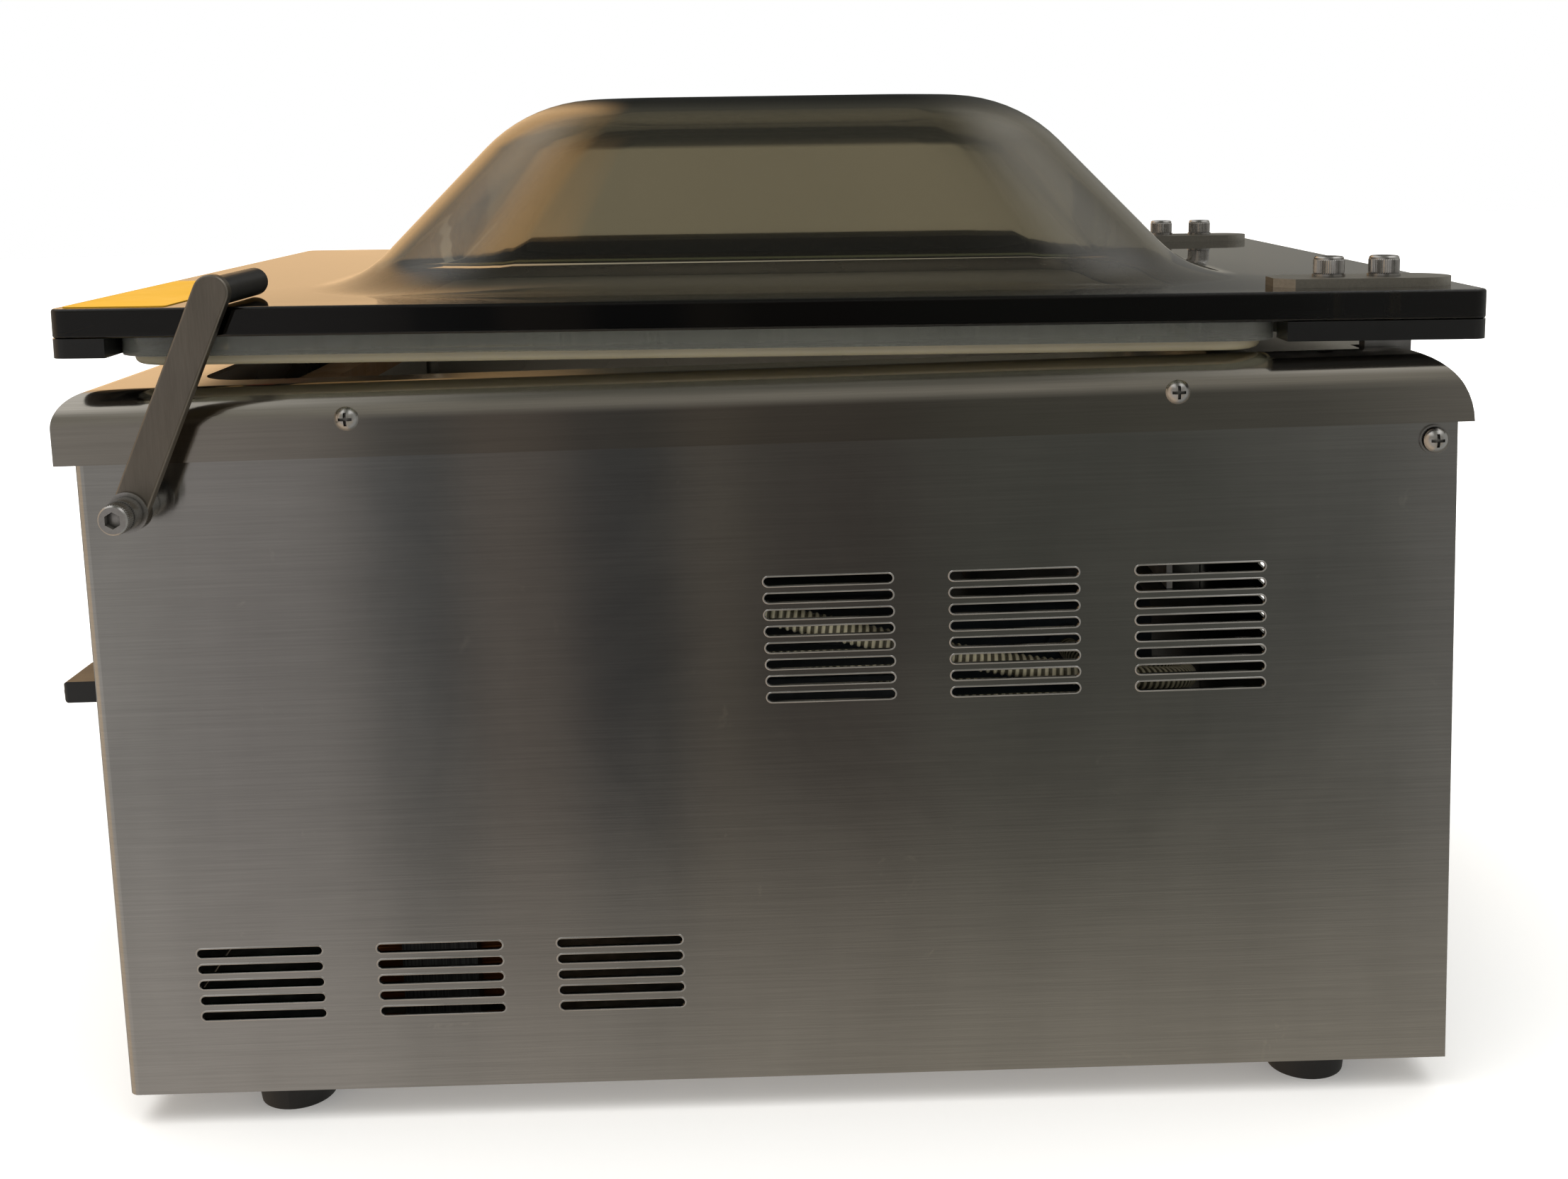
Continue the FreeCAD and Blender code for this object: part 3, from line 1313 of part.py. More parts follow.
nodes = {
    "case_shell": make_case_shell(),
    "rear_panel": make_rear_panel(),
    "base_plate": make_base_plate(),
    "rubber_feet": make_feet(),
    "foot_screws": make_foot_screws(),
    "deck_pan": make_deck_pan(),
    "chamber_tub": make_chamber_tub(),
    "filler_plate": make_filler_plate(),
    "deck_screws": make_deck_screws(),
    "rear_panel_screws": make_rear_screws(),
    "hinge_shaft": make_hinge_shaft(),
    "hinge_brackets": make_hinge_brackets(),
    "lid_springs": make_lid_springs(),
    "spring_anchors": make_spring_anchors(),
    "lever_spacers": make_lever_spacers(),
    "lever_bolt": make_lever_bolt(),
    "lever_nut": make_lever_nut(),
    "seal_cylinders": make_seal_cylinders(),
    "control_panel": make_overlay(),
    "display_window": make_display_window(),
    "control_board": make_control_board(),
    "gauge_housing": make_gauge_housing(),
    "gauge_dial": make_gauge_dial(),
    "gauge_lens": make_gauge_lens(),
    "gauge_needle": make_gauge_needle(),
    "switch_body": make_switch_body(),
    "switch_knob": make_switch_knob(),
    "power_inlet": make_power_inlet(),
    "fuse_holder": make_fuse_holder(),
    "pump_rails": make_pump_rails(),
    "pump_body": make_pump_body(),
    "pump_motor": make_pump_motor(),
    "exhaust_filter": make_exhaust_filter(),
    "transformer_core": make_transformer_core(),
    "transformer_coil": make_transformer_coil(),
    "solenoid_valves": make_valves(),
    "vacuum_hose": make_hose(),
    "seal_bar": make_seal_bar(),
    "heating_strip": make_heating_strip(),
    "tape_cover": make_tape_cover(),
    "piston_rods": make_piston_rods(),
}
for number, place in enumerate(button_places()):
    nodes["push_button_%d" % (number + 1)] = make_button(place)

lid_makers = {
    "lid_cover": make_lid_cover,
    "lid_front_strip": make_front_strip,
    "lid_rear_strip": make_rear_strip,
    "gasket_frame": make_gasket_frame,
    "lid_gasket": make_lid_gasket,
    "counter_bar": make_counter_bar,
    "counter_strip": make_counter_strip,
    "hinge_plates": make_hinge_plates,
    "hinge_arms": make_hinge_arms,
    "hinge_bushes": make_hinge_bushes,
    "hinge_screws": make_hinge_screws,
    "hinge_washers": make_hinge_washers,
    "lid_label": make_lid_label,
}
for name, maker in lid_makers.items():
    nodes[name] = lid_at_rest(maker())
nodes["lever_arm"] = lever_at_rest(make_lever_arm())
nodes["lever_rod"] = lever_at_rest(make_lever_rod())

bounds = FreeCAD.BoundBox()
for shape in nodes.values():
    bounds.add(shape.optimalBoundingBox())
shift = V(-bounds.Center.x, -bounds.Center.y, -bounds.ZMin)

os.makedirs("parts", exist_ok=True)
for name, shape in nodes.items():
    shape.translate(shift)
    shape.exportStep("parts/" + name + ".step")
    if not shape.isValid():
        print("not valid:", name)

print(len(nodes), "nodes, size %.1f x %.1f x %.1f mm" % (bounds.XLength, bounds.YLength, bounds.ZLength))
for label, point in (("shift", shift), ("lid hinge", V(0, hinge_y, hinge_z).add(shift)),
                     ("lever pivot", V(lever_in_x, lever_y, lever_z).add(shift)),
                     ("gauge needle", V(gauge_x, front_y, panel_z).add(shift)),
                     ("switch knob", V(knob_x, front_y, panel_z).add(shift))):
    print(label, "%.3f %.3f %.3f" % (point.x, point.y, point.z))
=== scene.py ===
import json
import math

import bmesh
import bpy
from mathutils import Matrix, Vector


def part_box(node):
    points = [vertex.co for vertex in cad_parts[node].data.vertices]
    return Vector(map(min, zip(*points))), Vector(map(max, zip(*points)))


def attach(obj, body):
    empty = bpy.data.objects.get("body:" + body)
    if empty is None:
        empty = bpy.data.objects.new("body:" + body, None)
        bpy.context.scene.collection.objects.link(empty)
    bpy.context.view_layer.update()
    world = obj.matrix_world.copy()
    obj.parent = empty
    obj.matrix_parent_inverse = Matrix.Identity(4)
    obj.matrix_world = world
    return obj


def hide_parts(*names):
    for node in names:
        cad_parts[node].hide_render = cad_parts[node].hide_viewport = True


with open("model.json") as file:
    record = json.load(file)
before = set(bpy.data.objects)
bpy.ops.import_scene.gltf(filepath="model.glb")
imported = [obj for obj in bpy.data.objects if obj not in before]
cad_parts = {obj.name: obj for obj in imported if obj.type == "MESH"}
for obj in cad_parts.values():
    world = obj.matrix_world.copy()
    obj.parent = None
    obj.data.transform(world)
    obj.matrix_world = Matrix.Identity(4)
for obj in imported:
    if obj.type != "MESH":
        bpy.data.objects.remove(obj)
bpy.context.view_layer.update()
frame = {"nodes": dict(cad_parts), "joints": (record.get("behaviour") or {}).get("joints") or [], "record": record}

# Looks of a desktop chamber vacuum sealer: metres, +Z up, -Y the front, +X the lever side.
MM = 0.001
IMAGE_WIDTH = 2212
IMAGE_HEIGHT = 1663

# ---------------------------------------------------------------- places taken from the frame
case_low, case_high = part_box("case_shell")
centre_x = (case_low.x + case_high.x) / 2
centre_y = (case_low.y + case_high.y) / 2
joints = {j["name"]: j for j in frame["joints"]}
hinge_place = Vector(joints["lid_hinge"]["pos_m"])
LID_REST = math.radians(1.06)


def lid_up():
    """Direction square to the lid's sheet as the lid rests."""
    return Vector((0, math.sin(LID_REST), math.cos(LID_REST)))


# ---------------------------------------------------------------- camera, floor and light
def add_camera():
    """Low view of the lever side, slightly turned and rolled as a hand-held camera."""
    focal = 2520.9
    axis_row = 560.0
    place = Vector((0.7566, 0.01203, 0.3429)) + Vector((centre_x, centre_y, 0))
    roll, pitch, yaw = -0.0333, 0.1413, 0.0072
    forward = Vector((-math.cos(pitch) * math.cos(yaw), -math.cos(pitch) * math.sin(yaw), -math.sin(pitch)))
    level = Vector((-math.sin(yaw), math.cos(yaw), 0))
    above = level.cross(forward)
    right = level * math.cos(roll) + above * math.sin(roll)
    up = above * math.cos(roll) - level * math.sin(roll)
    data = bpy.data.cameras.new("camera")
    data.sensor_width = 36.0
    data.lens = focal / IMAGE_WIDTH * data.sensor_width
    data.shift_y = (axis_row - IMAGE_HEIGHT / 2) / IMAGE_WIDTH
    data.clip_start = 0.01
    camera = bpy.data.objects.new("camera", data)
    bpy.context.scene.collection.objects.link(camera)
    turn = Matrix((right, up, -forward)).transposed()
    camera.matrix_world = Matrix.Translation(place) @ turn.to_4x4()
    bpy.context.scene.camera = camera


def add_light(name, place, aim, size, power, colour):
    """Large soft light that brightens the scene without showing as a patch in the metal."""
    data = bpy.data.lights.new(name, "AREA")
    data.shape = "RECTANGLE"
    data.size, data.size_y = size
    data.energy = power
    data.color = colour
    light = bpy.data.objects.new(name, data)
    bpy.context.scene.collection.objects.link(light)
    light.location = place
    light.rotation_euler = (Vector(aim) - Vector(place)).to_track_quat("-Z", "Y").to_euler()
    light.visible_glossy = False
    light.visible_transmission = False


class Sky:
    """The room round the object, worked out from the direction a ray leaves in."""

    def __init__(self):
        world = bpy.data.worlds.new("room")
        bpy.context.scene.world = world
        world.use_nodes = True
        self.nodes = world.node_tree.nodes
        self.links = world.node_tree.links
        self.background = self.nodes["Background"]
        split = self.nodes.new("ShaderNodeSeparateXYZ")
        self.links.new(self.nodes.new("ShaderNodeTexCoord").outputs["Generated"], split.inputs[0])
        self.x, self.y, self.z = split.outputs
        self.away = self.math("MAXIMUM", self.math("ABSOLUTE", self.x, 0.0), 0.02)

    def math(self, operation, a, b):
        node = self.nodes.new("ShaderNodeMath")
        node.operation = operation
        for socket, value in zip(node.inputs, (a, b)):
            if isinstance(value, (int, float)):
                socket.default_value = value
            else:
                self.links.new(value, socket)
        return node.outputs[0]

    def spread(self, value, start, end, smooth=True):
        node = self.nodes.new("ShaderNodeMapRange")
        node.interpolation_type = "SMOOTHSTEP" if smooth else "LINEAR"
        self.links.new(value, node.inputs["Value"])
        node.inputs["From Min"].default_value = start
        node.inputs["From Max"].default_value = end
        return node.outputs["Result"]

    def ramp(self, factor, stops):
        node = self.nodes.new("ShaderNodeValToRGB")
        elements = node.color_ramp.elements
        while len(elements) < len(stops):
            elements.new(1.0)
        for element, (position, colour) in zip(elements, stops):
            element.position = position
            element.color = (*colour, 1)
        self.links.new(factor, node.inputs["Fac"])
        return node.outputs["Color"]

    def blend(self, factor, a, b):
        node = self.nodes.new("ShaderNodeMix")
        node.data_type = "RGBA"
        for socket, value in ((node.inputs[0], factor), (node.inputs[6], a), (node.inputs[7], b)):
            if isinstance(value, tuple):
                socket.default_value = (*value, 1)
            else:
                self.links.new(value, socket)
        return node.outputs[2]


def add_world():
    """White backdrop, with a dim room round the studio that the metal and the acrylic reflect."""
    sky = Sky()
    sideways = sky.math("DIVIDE", sky.y, sky.away)
    upward = sky.math("DIVIDE", sky.z, sky.away)
    # The lever side looks into the room: a window at the front, doorways and dark furniture.
    room = sky.ramp(sky.spread(sideways, -0.60, 0.60, False), [
        (0.025, (0.420, 0.400, 0.380)), (0.176, (0.320, 0.305, 0.290)), (0.221, (0.300, 0.280, 0.270)),
        (0.267, (0.250, 0.235, 0.225)), (0.287, (0.200, 0.185, 0.175)), (0.296, (0.118, 0.118, 0.118)),
        (0.317, (0.092, 0.092, 0.092)), (0.334, (0.082, 0.083, 0.082)), (0.346, (0.150, 0.128, 0.112)),
        (0.382, (0.118, 0.102, 0.090)), (0.397, (0.052, 0.052, 0.053)), (0.435, (0.050, 0.051, 0.050)),
        (0.452, (0.108, 0.092, 0.076)), (0.464, (0.100, 0.088, 0.072)), (0.482, (0.064, 0.057, 0.050)),
        (0.530, (0.058, 0.051, 0.045)), (0.582, (0.072, 0.072, 0.062)), (0.680, (0.082, 0.083, 0.073)),
        (0.746, (0.100, 0.100, 0.092)), (0.782, (0.125, 0.125, 0.115)), (0.805, (0.180, 0.175, 0.165)),
        (0.943, (0.260, 0.250, 0.230))])
    near_table = sky.blend(sky.spread(sideways, -0.4, 0.1), (0.50, 0.455, 0.41), (0.40, 0.36, 0.30))
    room = sky.blend(sky.spread(upward, -0.36, -0.60), room, near_table)
    room = sky.blend(sky.spread(upward, -0.25, 0.55), room, (0.30, 0.29, 0.26))
    # Behind the object the room is dark above its horizon, with a warm lit wall to the front.
    behind = sky.blend(sky.spread(upward, 0.10, 0.0), (0.045, 0.046, 0.042), (0.40, 0.37, 0.30))
    behind = sky.blend(sky.spread(sideways, -0.10, -0.24), behind, (1.0, 0.66, 0.36))
    behind = sky.blend(sky.spread(sideways, -0.50, -0.75), behind, (0.30, 0.29, 0.27))
    behind = sky.blend(sky.spread(sideways, 0.05, 0.5), behind, (0.34, 0.33, 0.30))
    seen = sky.blend(sky.spread(sky.x, -0.06, 0.06), behind, room)
    ends = sky.blend(sky.spread(sky.y, -0.2, 0.2), (0.62, 0.50, 0.38), (0.36, 0.36, 0.34))
    seen = sky.blend(sky.spread(sky.away, 0.55, 0.3), seen, ends)
    # Overhead it is dark in the middle, with a bright ceiling towards both ends.
    endwards = sky.spread(sky.math("ABSOLUTE", sky.y, 0.0), 0.12, 0.45)
    ceiling = sky.blend(endwards, (0.16, 0.16, 0.14), (1.0, 0.99, 0.96))
    seen = sky.blend(sky.spread(sky.z, 0.45, 0.85), seen, ceiling)
    backdrop = sky.nodes.new("ShaderNodeLightPath").outputs["Is Camera Ray"]
    sky.links.new(sky.blend(backdrop, seen, (1.0, 1.0, 1.0)), sky.background.inputs["Color"])
    sky.background.inputs["Strength"].default_value = 1.0


def add_floor():
    data = bpy.data.meshes.new("floor")
    reach = 6.0
    data.from_pydata([(-reach, -reach, 0), (reach, -reach, 0), (reach, reach, 0), (-reach, reach, 0)], [],
                     [(0, 1, 2, 3)])
    floor = bpy.data.objects.new("floor", data)
    bpy.context.scene.collection.objects.link(floor)
    shade = Shade("floor_pale", (0.88, 0.88, 0.88), 0.9)
    shade.tint(shade.noise(3.0, 2.0), 0.02)
    # The far floor grows lighter until it meets the white backdrop.
    distance = shade.nodes.new("ShaderNodeVectorMath")
    distance.operation = "LENGTH"
    shade.links.new(shade.coordinates, distance.inputs[0])
    glow = shade.nodes.new("ShaderNodeMapRange")
    shade.links.new(distance.outputs["Value"], glow.inputs["Value"])
    for name, value in (("From Min", 0.3), ("From Max", 1.6), ("To Min", 0.18), ("To Max", 1.0)):
        glow.inputs[name].default_value = value
    shade.links.new(glow.outputs["Result"], shade.shader.inputs["Emission Strength"])
    shade.set("Emission Color", (1, 1, 1, 1))
    floor.data.materials.append(shade.material)
    floor.visible_glossy = False
    floor.visible_transmission = False


# ---------------------------------------------------------------- material kit
class Shade:
    """A Principled material built up from procedural layers in object coordinates."""

    def __init__(self, name, colour, roughness, metallic=0.0):
        self.material = bpy.data.materials.new(name)
        self.material.use_nodes = True
        self.nodes = self.material.node_tree.nodes
        self.links = self.material.node_tree.links
        self.shader = self.nodes["Principled BSDF"]
        self.shader.inputs["Metallic"].default_value = metallic
        self.roughness = roughness
        self.shader.inputs["Roughness"].default_value = roughness
        self.coordinates = self.nodes.new("ShaderNodeTexCoord").outputs["Object"]
        self.colour = self.rgb(colour)
        self.use_colour(self.colour)
        self.height = None

    def rgb(self, colour):
        node = self.nodes.new("ShaderNodeRGB")
        node.outputs[0].default_value = (*colour, 1)
        return node.outputs[0]

    def use_colour(self, socket):
        self.colour = socket
        self.links.new(socket, self.shader.inputs["Base Color"])

    def set(self, name, value):
        self.shader.inputs[name].default_value = value
        return self

    def scaled(self, scale, turn=(0, 0, 0)):
        node = self.nodes.new("ShaderNodeMapping")
        node.inputs["Scale"].default_value = scale
        node.inputs["Rotation"].default_value = turn
        self.links.new(self.coordinates, node.inputs["Vector"])
        return node.outputs["Vector"]

    def noise(self, scale, detail=3.0, stretch=(1, 1, 1), rough=0.5, warp=0.0):
        node = self.nodes.new("ShaderNodeTexNoise")
        self.links.new(self.scaled(stretch), node.inputs["Vector"])
        node.inputs["Scale"].default_value = scale
        node.inputs["Detail"].default_value = detail
        node.inputs["Roughness"].default_value = rough
        node.inputs["Distortion"].default_value = warp
        return node.outputs["Fac"]

    def math(self, operation, a, b, clamp=False):
        node = self.nodes.new("ShaderNodeMath")
        node.operation = operation
        node.use_clamp = clamp
        for socket, value in zip(node.inputs, (a, b)):
            if isinstance(value, (int, float)):
                socket.default_value = value
            else:
                self.links.new(value, socket)
        return node.outputs[0]

    def ramp(self, factor, stops, smooth=False):
        node = self.nodes.new("ShaderNodeValToRGB")
        node.color_ramp.interpolation = "B_SPLINE" if smooth else "LINEAR"
        elements = node.color_ramp.elements
        while len(elements) < len(stops):
            elements.new(1.0)
        for element, (position, colour) in zip(elements, stops):
            element.position = position
            element.color = (*colour, 1)
        self.links.new(factor, node.inputs["Fac"])
        return node.outputs["Color"]

    def mix(self, factor, a, b, blend="MIX"):
        node = self.nodes.new("ShaderNodeMix")
        node.data_type = "RGBA"
        node.blend_type = blend
        for socket, value in ((node.inputs[0], factor), (node.inputs[6], a), (node.inputs[7], b)):
            if isinstance(value, (int, float)):
                socket.default_value = value
            elif isinstance(value, tuple):
                socket.default_value = (*value, 1)
            else:
                self.links.new(value, socket)
        return node.outputs[2]

    def tint(self, factor, amount):
        """Lightens and darkens the colour by a share."""
        stops = [(0.25, (1 - amount,) * 3), (0.75, (1 + amount,) * 3)]
        self.use_colour(self.mix(1.0, self.colour, self.ramp(factor, stops), "MULTIPLY"))
        return self

    def stain(self, factor, colour, low, high):
        """Lays a colour over the surface where factor is above low, fully at high."""
        mask = self.ramp(factor, [(low, (0, 0, 0)), (high, (1, 1, 1))])
        self.use_colour(self.mix(mask, self.colour, colour))
        return self

    def rough(self, factor, low, high):
        node = self.nodes.new("ShaderNodeMapRange")
        self.links.new(factor, node.inputs["Value"])
        node.inputs["From Min"].default_value = 0.3
        node.inputs["From Max"].default_value = 0.7
        node.inputs["To Min"].default_value = low
        node.inputs["To Max"].default_value = high
        self.links.new(node.outputs["Result"], self.shader.inputs["Roughness"])
        return self

    def bump(self, height, distance, strength=1.0):
        node = self.nodes.new("ShaderNodeBump")
        node.inputs["Distance"].default_value = distance
        node.inputs["Strength"].default_value = strength
        self.links.new(height, node.inputs["Height"])
        if self.height is not None:
            self.links.new(self.height, node.inputs["Normal"])
        self.height = node.outputs["Normal"]
        self.links.new(self.height, self.shader.inputs["Normal"])
        return self


def grey(level, warmth=0.0):
    return (level * (1 + warmth), level, level * (1 - warmth))


# ---------------------------------------------------------------- materials
def grained(shade, turn_axis="Z"):
    """Stretches the gloss across a grain that runs level round the piece."""
    tangent = shade.nodes.new("ShaderNodeTangent")
    tangent.direction_type = "RADIAL"
    tangent.axis = turn_axis
    shade.links.new(tangent.outputs["Tangent"], shade.shader.inputs["Tangent"])
    shade.set("Anisotropic", 0.95)
    shade.set("Anisotropic Rotation", 0.25)


def brushed_case():
    """Brushed stainless sheet: fine level grain, with smudges, wipe marks and a few dull spots."""
    shade = Shade("case_stainless", (0.50, 0.495, 0.48), 0.26, 1.0)
    grained(shade)
    shade.tint(shade.noise(26.0, 4.0, (1, 1, 0.07), 0.6), 0.05)
    shade.tint(shade.noise(14.0, 3.0, (1, 1, 1), 0.5, 0.6), 0.07)
    grain = shade.noise(900.0, 4.0, (0.02, 0.02, 1.6), 0.75)
    shade.tint(grain, 0.10)
    shade.stain(shade.noise(38.0, 5.0, (1, 1, 1), 0.65, 1.2), (0.58, 0.57, 0.54), 0.66, 0.74)
    shade.rough(shade.noise(11.0, 4.0, (1, 1, 1), 0.6, 0.8), 0.10, 0.14)
    shade.bump(grain, 0.00002, 0.4)
    return shade.material


def vent_rim():
    """Edge of the punched slots, in a paler steel than the case: painted highlight on the lips."""
    shade = Shade("vent_rim", grey(0.62, 0.02), 0.24, 1.0)
    shade.tint(shade.noise(120.0, 3.0), 0.12)
    shade.rough(shade.noise(200.0, 3.0), 0.16, 0.30)
    return shade.material


def brushed_deck():
    """Satin stainless of the pressed deck: warm, with grain along its length."""
    shade = Shade("deck_stainless", (0.44, 0.415, 0.375), 0.16, 1.0)
    grained(shade)
    grain = shade.noise(1100.0, 3.0, (1.3, 0.015, 1.3), 0.7)
    shade.tint(grain, 0.09)
    shade.tint(shade.noise(12.0, 3.0, (1, 1, 1), 0.5, 0.5), 0.08)
    shade.rough(shade.noise(16.0, 4.0), 0.10, 0.15)
    shade.set("Anisotropic", 0.75)
    shade.bump(grain, 0.00002, 0.4)
    return shade.material


def bright_tub():
    """Drawn stainless inside the chamber, brighter and slightly rippled."""
    shade = Shade("tub_stainless", grey(0.48, 0.03), 0.24, 1.0)
    grain = shade.noise(700.0, 3.0, (1.2, 0.03, 1.2), 0.6)
    shade.tint(grain, 0.05)
    shade.rough(shade.noise(20.0, 3.0), 0.18, 0.34)
    shade.bump(shade.noise(22.0, 2.0), 0.0002, 0.25)
    return shade.material


def galvanised():
    """Zinc-coated sheet with its crystal spangle."""
    shade = Shade("galvanised_sheet", grey(0.42), 0.42, 0.9)
    cells = shade.nodes.new("ShaderNodeTexVoronoi")
    cells.inputs["Scale"].default_value = 130.0
    shade.links.new(shade.coordinates, cells.inputs["Vector"])
    shade.tint(cells.outputs["Distance"], 0.18)
    shade.rough(shade.noise(60.0, 3.0), 0.34, 0.52)
    return shade.material


def bright_steel():
    """Plated fastener steel with fine turning marks, and painted shade darkening its recesses."""
    shade = Shade("bright_fastener", grey(0.52, 0.02), 0.22, 1.0)
    shade.tint(shade.noise(700.0, 3.0), 0.08)
    # Ambient occlusion darkens the colour in the recesses: painted shade.
    recess_occlusion = shade.nodes.new("ShaderNodeAmbientOcclusion")
    recess_occlusion.inputs["Distance"].default_value = 0.003
    painted_recess_shade = shade.ramp(recess_occlusion.outputs["AO"], [(0.2, grey(0.08)), (0.8, grey(1.0))])
    shade.use_colour(shade.mix(1.0, shade.colour, painted_recess_shade, "MULTIPLY"))
    shade.rough(shade.noise(300.0, 4.0), 0.16, 0.32)
    shade.bump(shade.noise(1500.0, 2.0), 0.00001, 0.4)
    return shade.material


def lever_steel():
    """Dark ground flat bar with long scratches."""
    shade = Shade("lever_bar", (0.30, 0.27, 0.235), 0.36, 1.0)
    shade.tint(shade.noise(60.0, 4.0, (1, 1, 0.25), 0.6), 0.16)
    fine = shade.noise(1400.0, 3.0, (1, 1, 0.06), 0.7)
    shade.tint(fine, 0.10)
    shade.rough(shade.noise(40.0, 3.0), 0.30, 0.46)
    shade.bump(fine, 0.00002, 0.5)
    return shade.material


def strap_steel():
    """Sawn stainless strap of the hinges."""
    shade = Shade("hinge_strap", (0.42, 0.40, 0.36), 0.38, 1.0)
    fine = shade.noise(1200.0, 3.0, (0.05, 1, 1), 0.7)
    shade.tint(fine, 0.12)
    shade.tint(shade.noise(40.0, 3.0), 0.08)
    shade.rough(shade.noise(50.0, 3.0), 0.32, 0.48)
    shade.bump(fine, 0.00003, 0.5)
    return shade.material


def moulded(name, colour, roughness, speck=0.06, grain_height=0.00003):
    """Moulded plastic or rubber with a fine texture."""
    shade = Shade(name, colour, roughness)
    shade.tint(shade.noise(35.0, 4.0), speck)
    shade.rough(shade.noise(60.0, 4.0), roughness - 0.06, roughness + 0.08)
    shade.bump(shade.noise(1600.0, 3.0), grain_height, 0.6)
    return shade.material


def cast_paint(name, colour):
    """Painted casting with an orange-peel skin."""
    shade = Shade(name, colour, 0.45, 0.1)
    shade.tint(shade.noise(18.0, 4.0), 0.12)
    shade.rough(shade.noise(30.0, 4.0), 0.36, 0.58)
    shade.bump(shade.noise(420.0, 3.0), 0.00012, 0.6)
    return shade.material


def black_acrylic():
    """Polished black sheet under the lid."""
    shade = Shade("black_acrylic", grey(0.006), 0.07)
    shade.set("IOR", 1.49)
    shade.tint(shade.noise(30.0, 4.0), 0.2)
    shade.rough(shade.noise(45.0, 5.0, (1, 1, 1), 0.6, 0.4), 0.05, 0.12)
    shade.bump(shade.noise(25.0, 2.0), 0.00004, 0.3)
    return shade.material


def absorb(shade, colour, density):
    """Tint that deepens with the thickness looked through."""
    node = shade.nodes.new("ShaderNodeVolumeAbsorption")
    node.inputs["Color"].default_value = (*colour, 1)
    node.inputs["Density"].default_value = density
    output = shade.nodes["Material Output"]
    shade.links.new(node.outputs[0], output.inputs["Volume"])


def lid_acrylic():
    """Smoked acrylic: near black along the thick sheet, see-through across the blown wall."""
    shade = Shade("smoked_acrylic", (0.93, 0.92, 0.88), 0.04)
    shade.tint(shade.noise(9.0, 2.0), 0.03)
    shade.set("Transmission Weight", 1.0)
    shade.set("IOR", 1.49)
    shade.rough(shade.noise(30.0, 5.0, (1, 1, 1), 0.6, 0.5), 0.01, 0.035)
    absorb(shade, (0.30, 0.25, 0.10), 120.0)
    return shade.material


def clear_acrylic():
    """Clear sheet with sawn, slightly milky edges."""
    shade = Shade("frame_acrylic", (0.62, 0.63, 0.56), 0.2)
    shade.set("IOR", 1.49)
    saw = shade.noise(900.0, 3.0, (1, 1, 0.04), 0.6)
    shade.tint(saw, 0.06)
    shade.tint(shade.noise(14.0, 3.0, (1, 1, 0.2)), 0.10)
    shade.set("Transmission Weight", 0.9)
    shade.rough(saw, 0.10, 0.24)
    shade.bump(saw, 0.00002, 0.4)
    absorb(shade, (0.45, 0.50, 0.35), 75.0)
    return shade.material


def cream_silicone():
    # The cream is darkened to about half its tone: painted shade for the shadow of the lid over the gasket.
    shade = Shade("cream_silicone", (0.20, 0.175, 0.115), 0.45)
    shade.set("Subsurface Weight", 0.2)
    shade.set("Subsurface Radius", (0.004, 0.003, 0.001))
    shade.tint(shade.noise(20.0, 4.0, (1, 1, 0.3)), 0.12)
    shade.rough(shade.noise(80.0, 3.0), 0.36, 0.55)
    shade.bump(shade.noise(900.0, 3.0), 0.00003, 0.5)
    return shade.material


def woven_tape():
    """Heat-resistant glass cloth tape with its weave."""
    shade = Shade("woven_tape", (0.30, 0.155, 0.06), 0.42)
    warp = shade.noise(1.0, 0.0, (900, 60, 60))
    weft = shade.noise(1.0, 0.0, (60, 900, 900))
    weave = shade.math("MULTIPLY", warp, weft)
    shade.tint(weave, 0.25)
    shade.rough(shade.noise(90.0, 3.0), 0.34, 0.5)
    shade.bump(weave, 0.00005, 0.7)
    return shade.material


def hose_shade():
    """Clear hose round a bright wire: the wire shows on each ridge, made brighter there by painted glint, with
    painted shade darkening the grooves.
    """
    shade = Shade("wound_hose", (0.36, 0.34, 0.27), 0.28)
    ridge = shade.nodes.new("ShaderNodeAttribute")
    ridge.attribute_name = "ridge"
    # Dark in the grooves, bright on the ridges: painted shade between the turns and painted glint on the wire.
    stops = [(0.35, (0.10, 0.09, 0.06)), (0.7, (0.62, 0.57, 0.40))]
    shade.use_colour(shade.ramp(ridge.outputs["Fac"], stops))
    shade.tint(shade.noise(60.0, 3.0), 0.10)
    shade.rough(shade.noise(90.0, 3.0), 0.18, 0.36)
    return shade.material


def printed_dial():
    shade = Shade("dial_face", grey(0.74, 0.01), 0.5)
    shade.tint(shade.noise(40.0, 3.0), 0.02)
    return shade.material


def panel_film():
    """Textured film of the control panel with a paler border."""
    shade = Shade("panel_film", (0.045, 0.055, 0.075), 0.4)
    shade.tint(shade.noise(25.0, 3.0), 0.08)
    shade.rough(shade.noise(70.0, 3.0), 0.34, 0.48)
    shade.bump(shade.noise(1300.0, 2.0), 0.00003, 0.6)
    return shade.material


def clear_lens():
    shade = Shade("lens_glass", grey(0.95), 0.03)
    shade.set("Transmission Weight", 1.0)
    shade.set("IOR", 1.5)
    shade.rough(shade.noise(40.0, 3.0), 0.02, 0.05)
    return shade.material


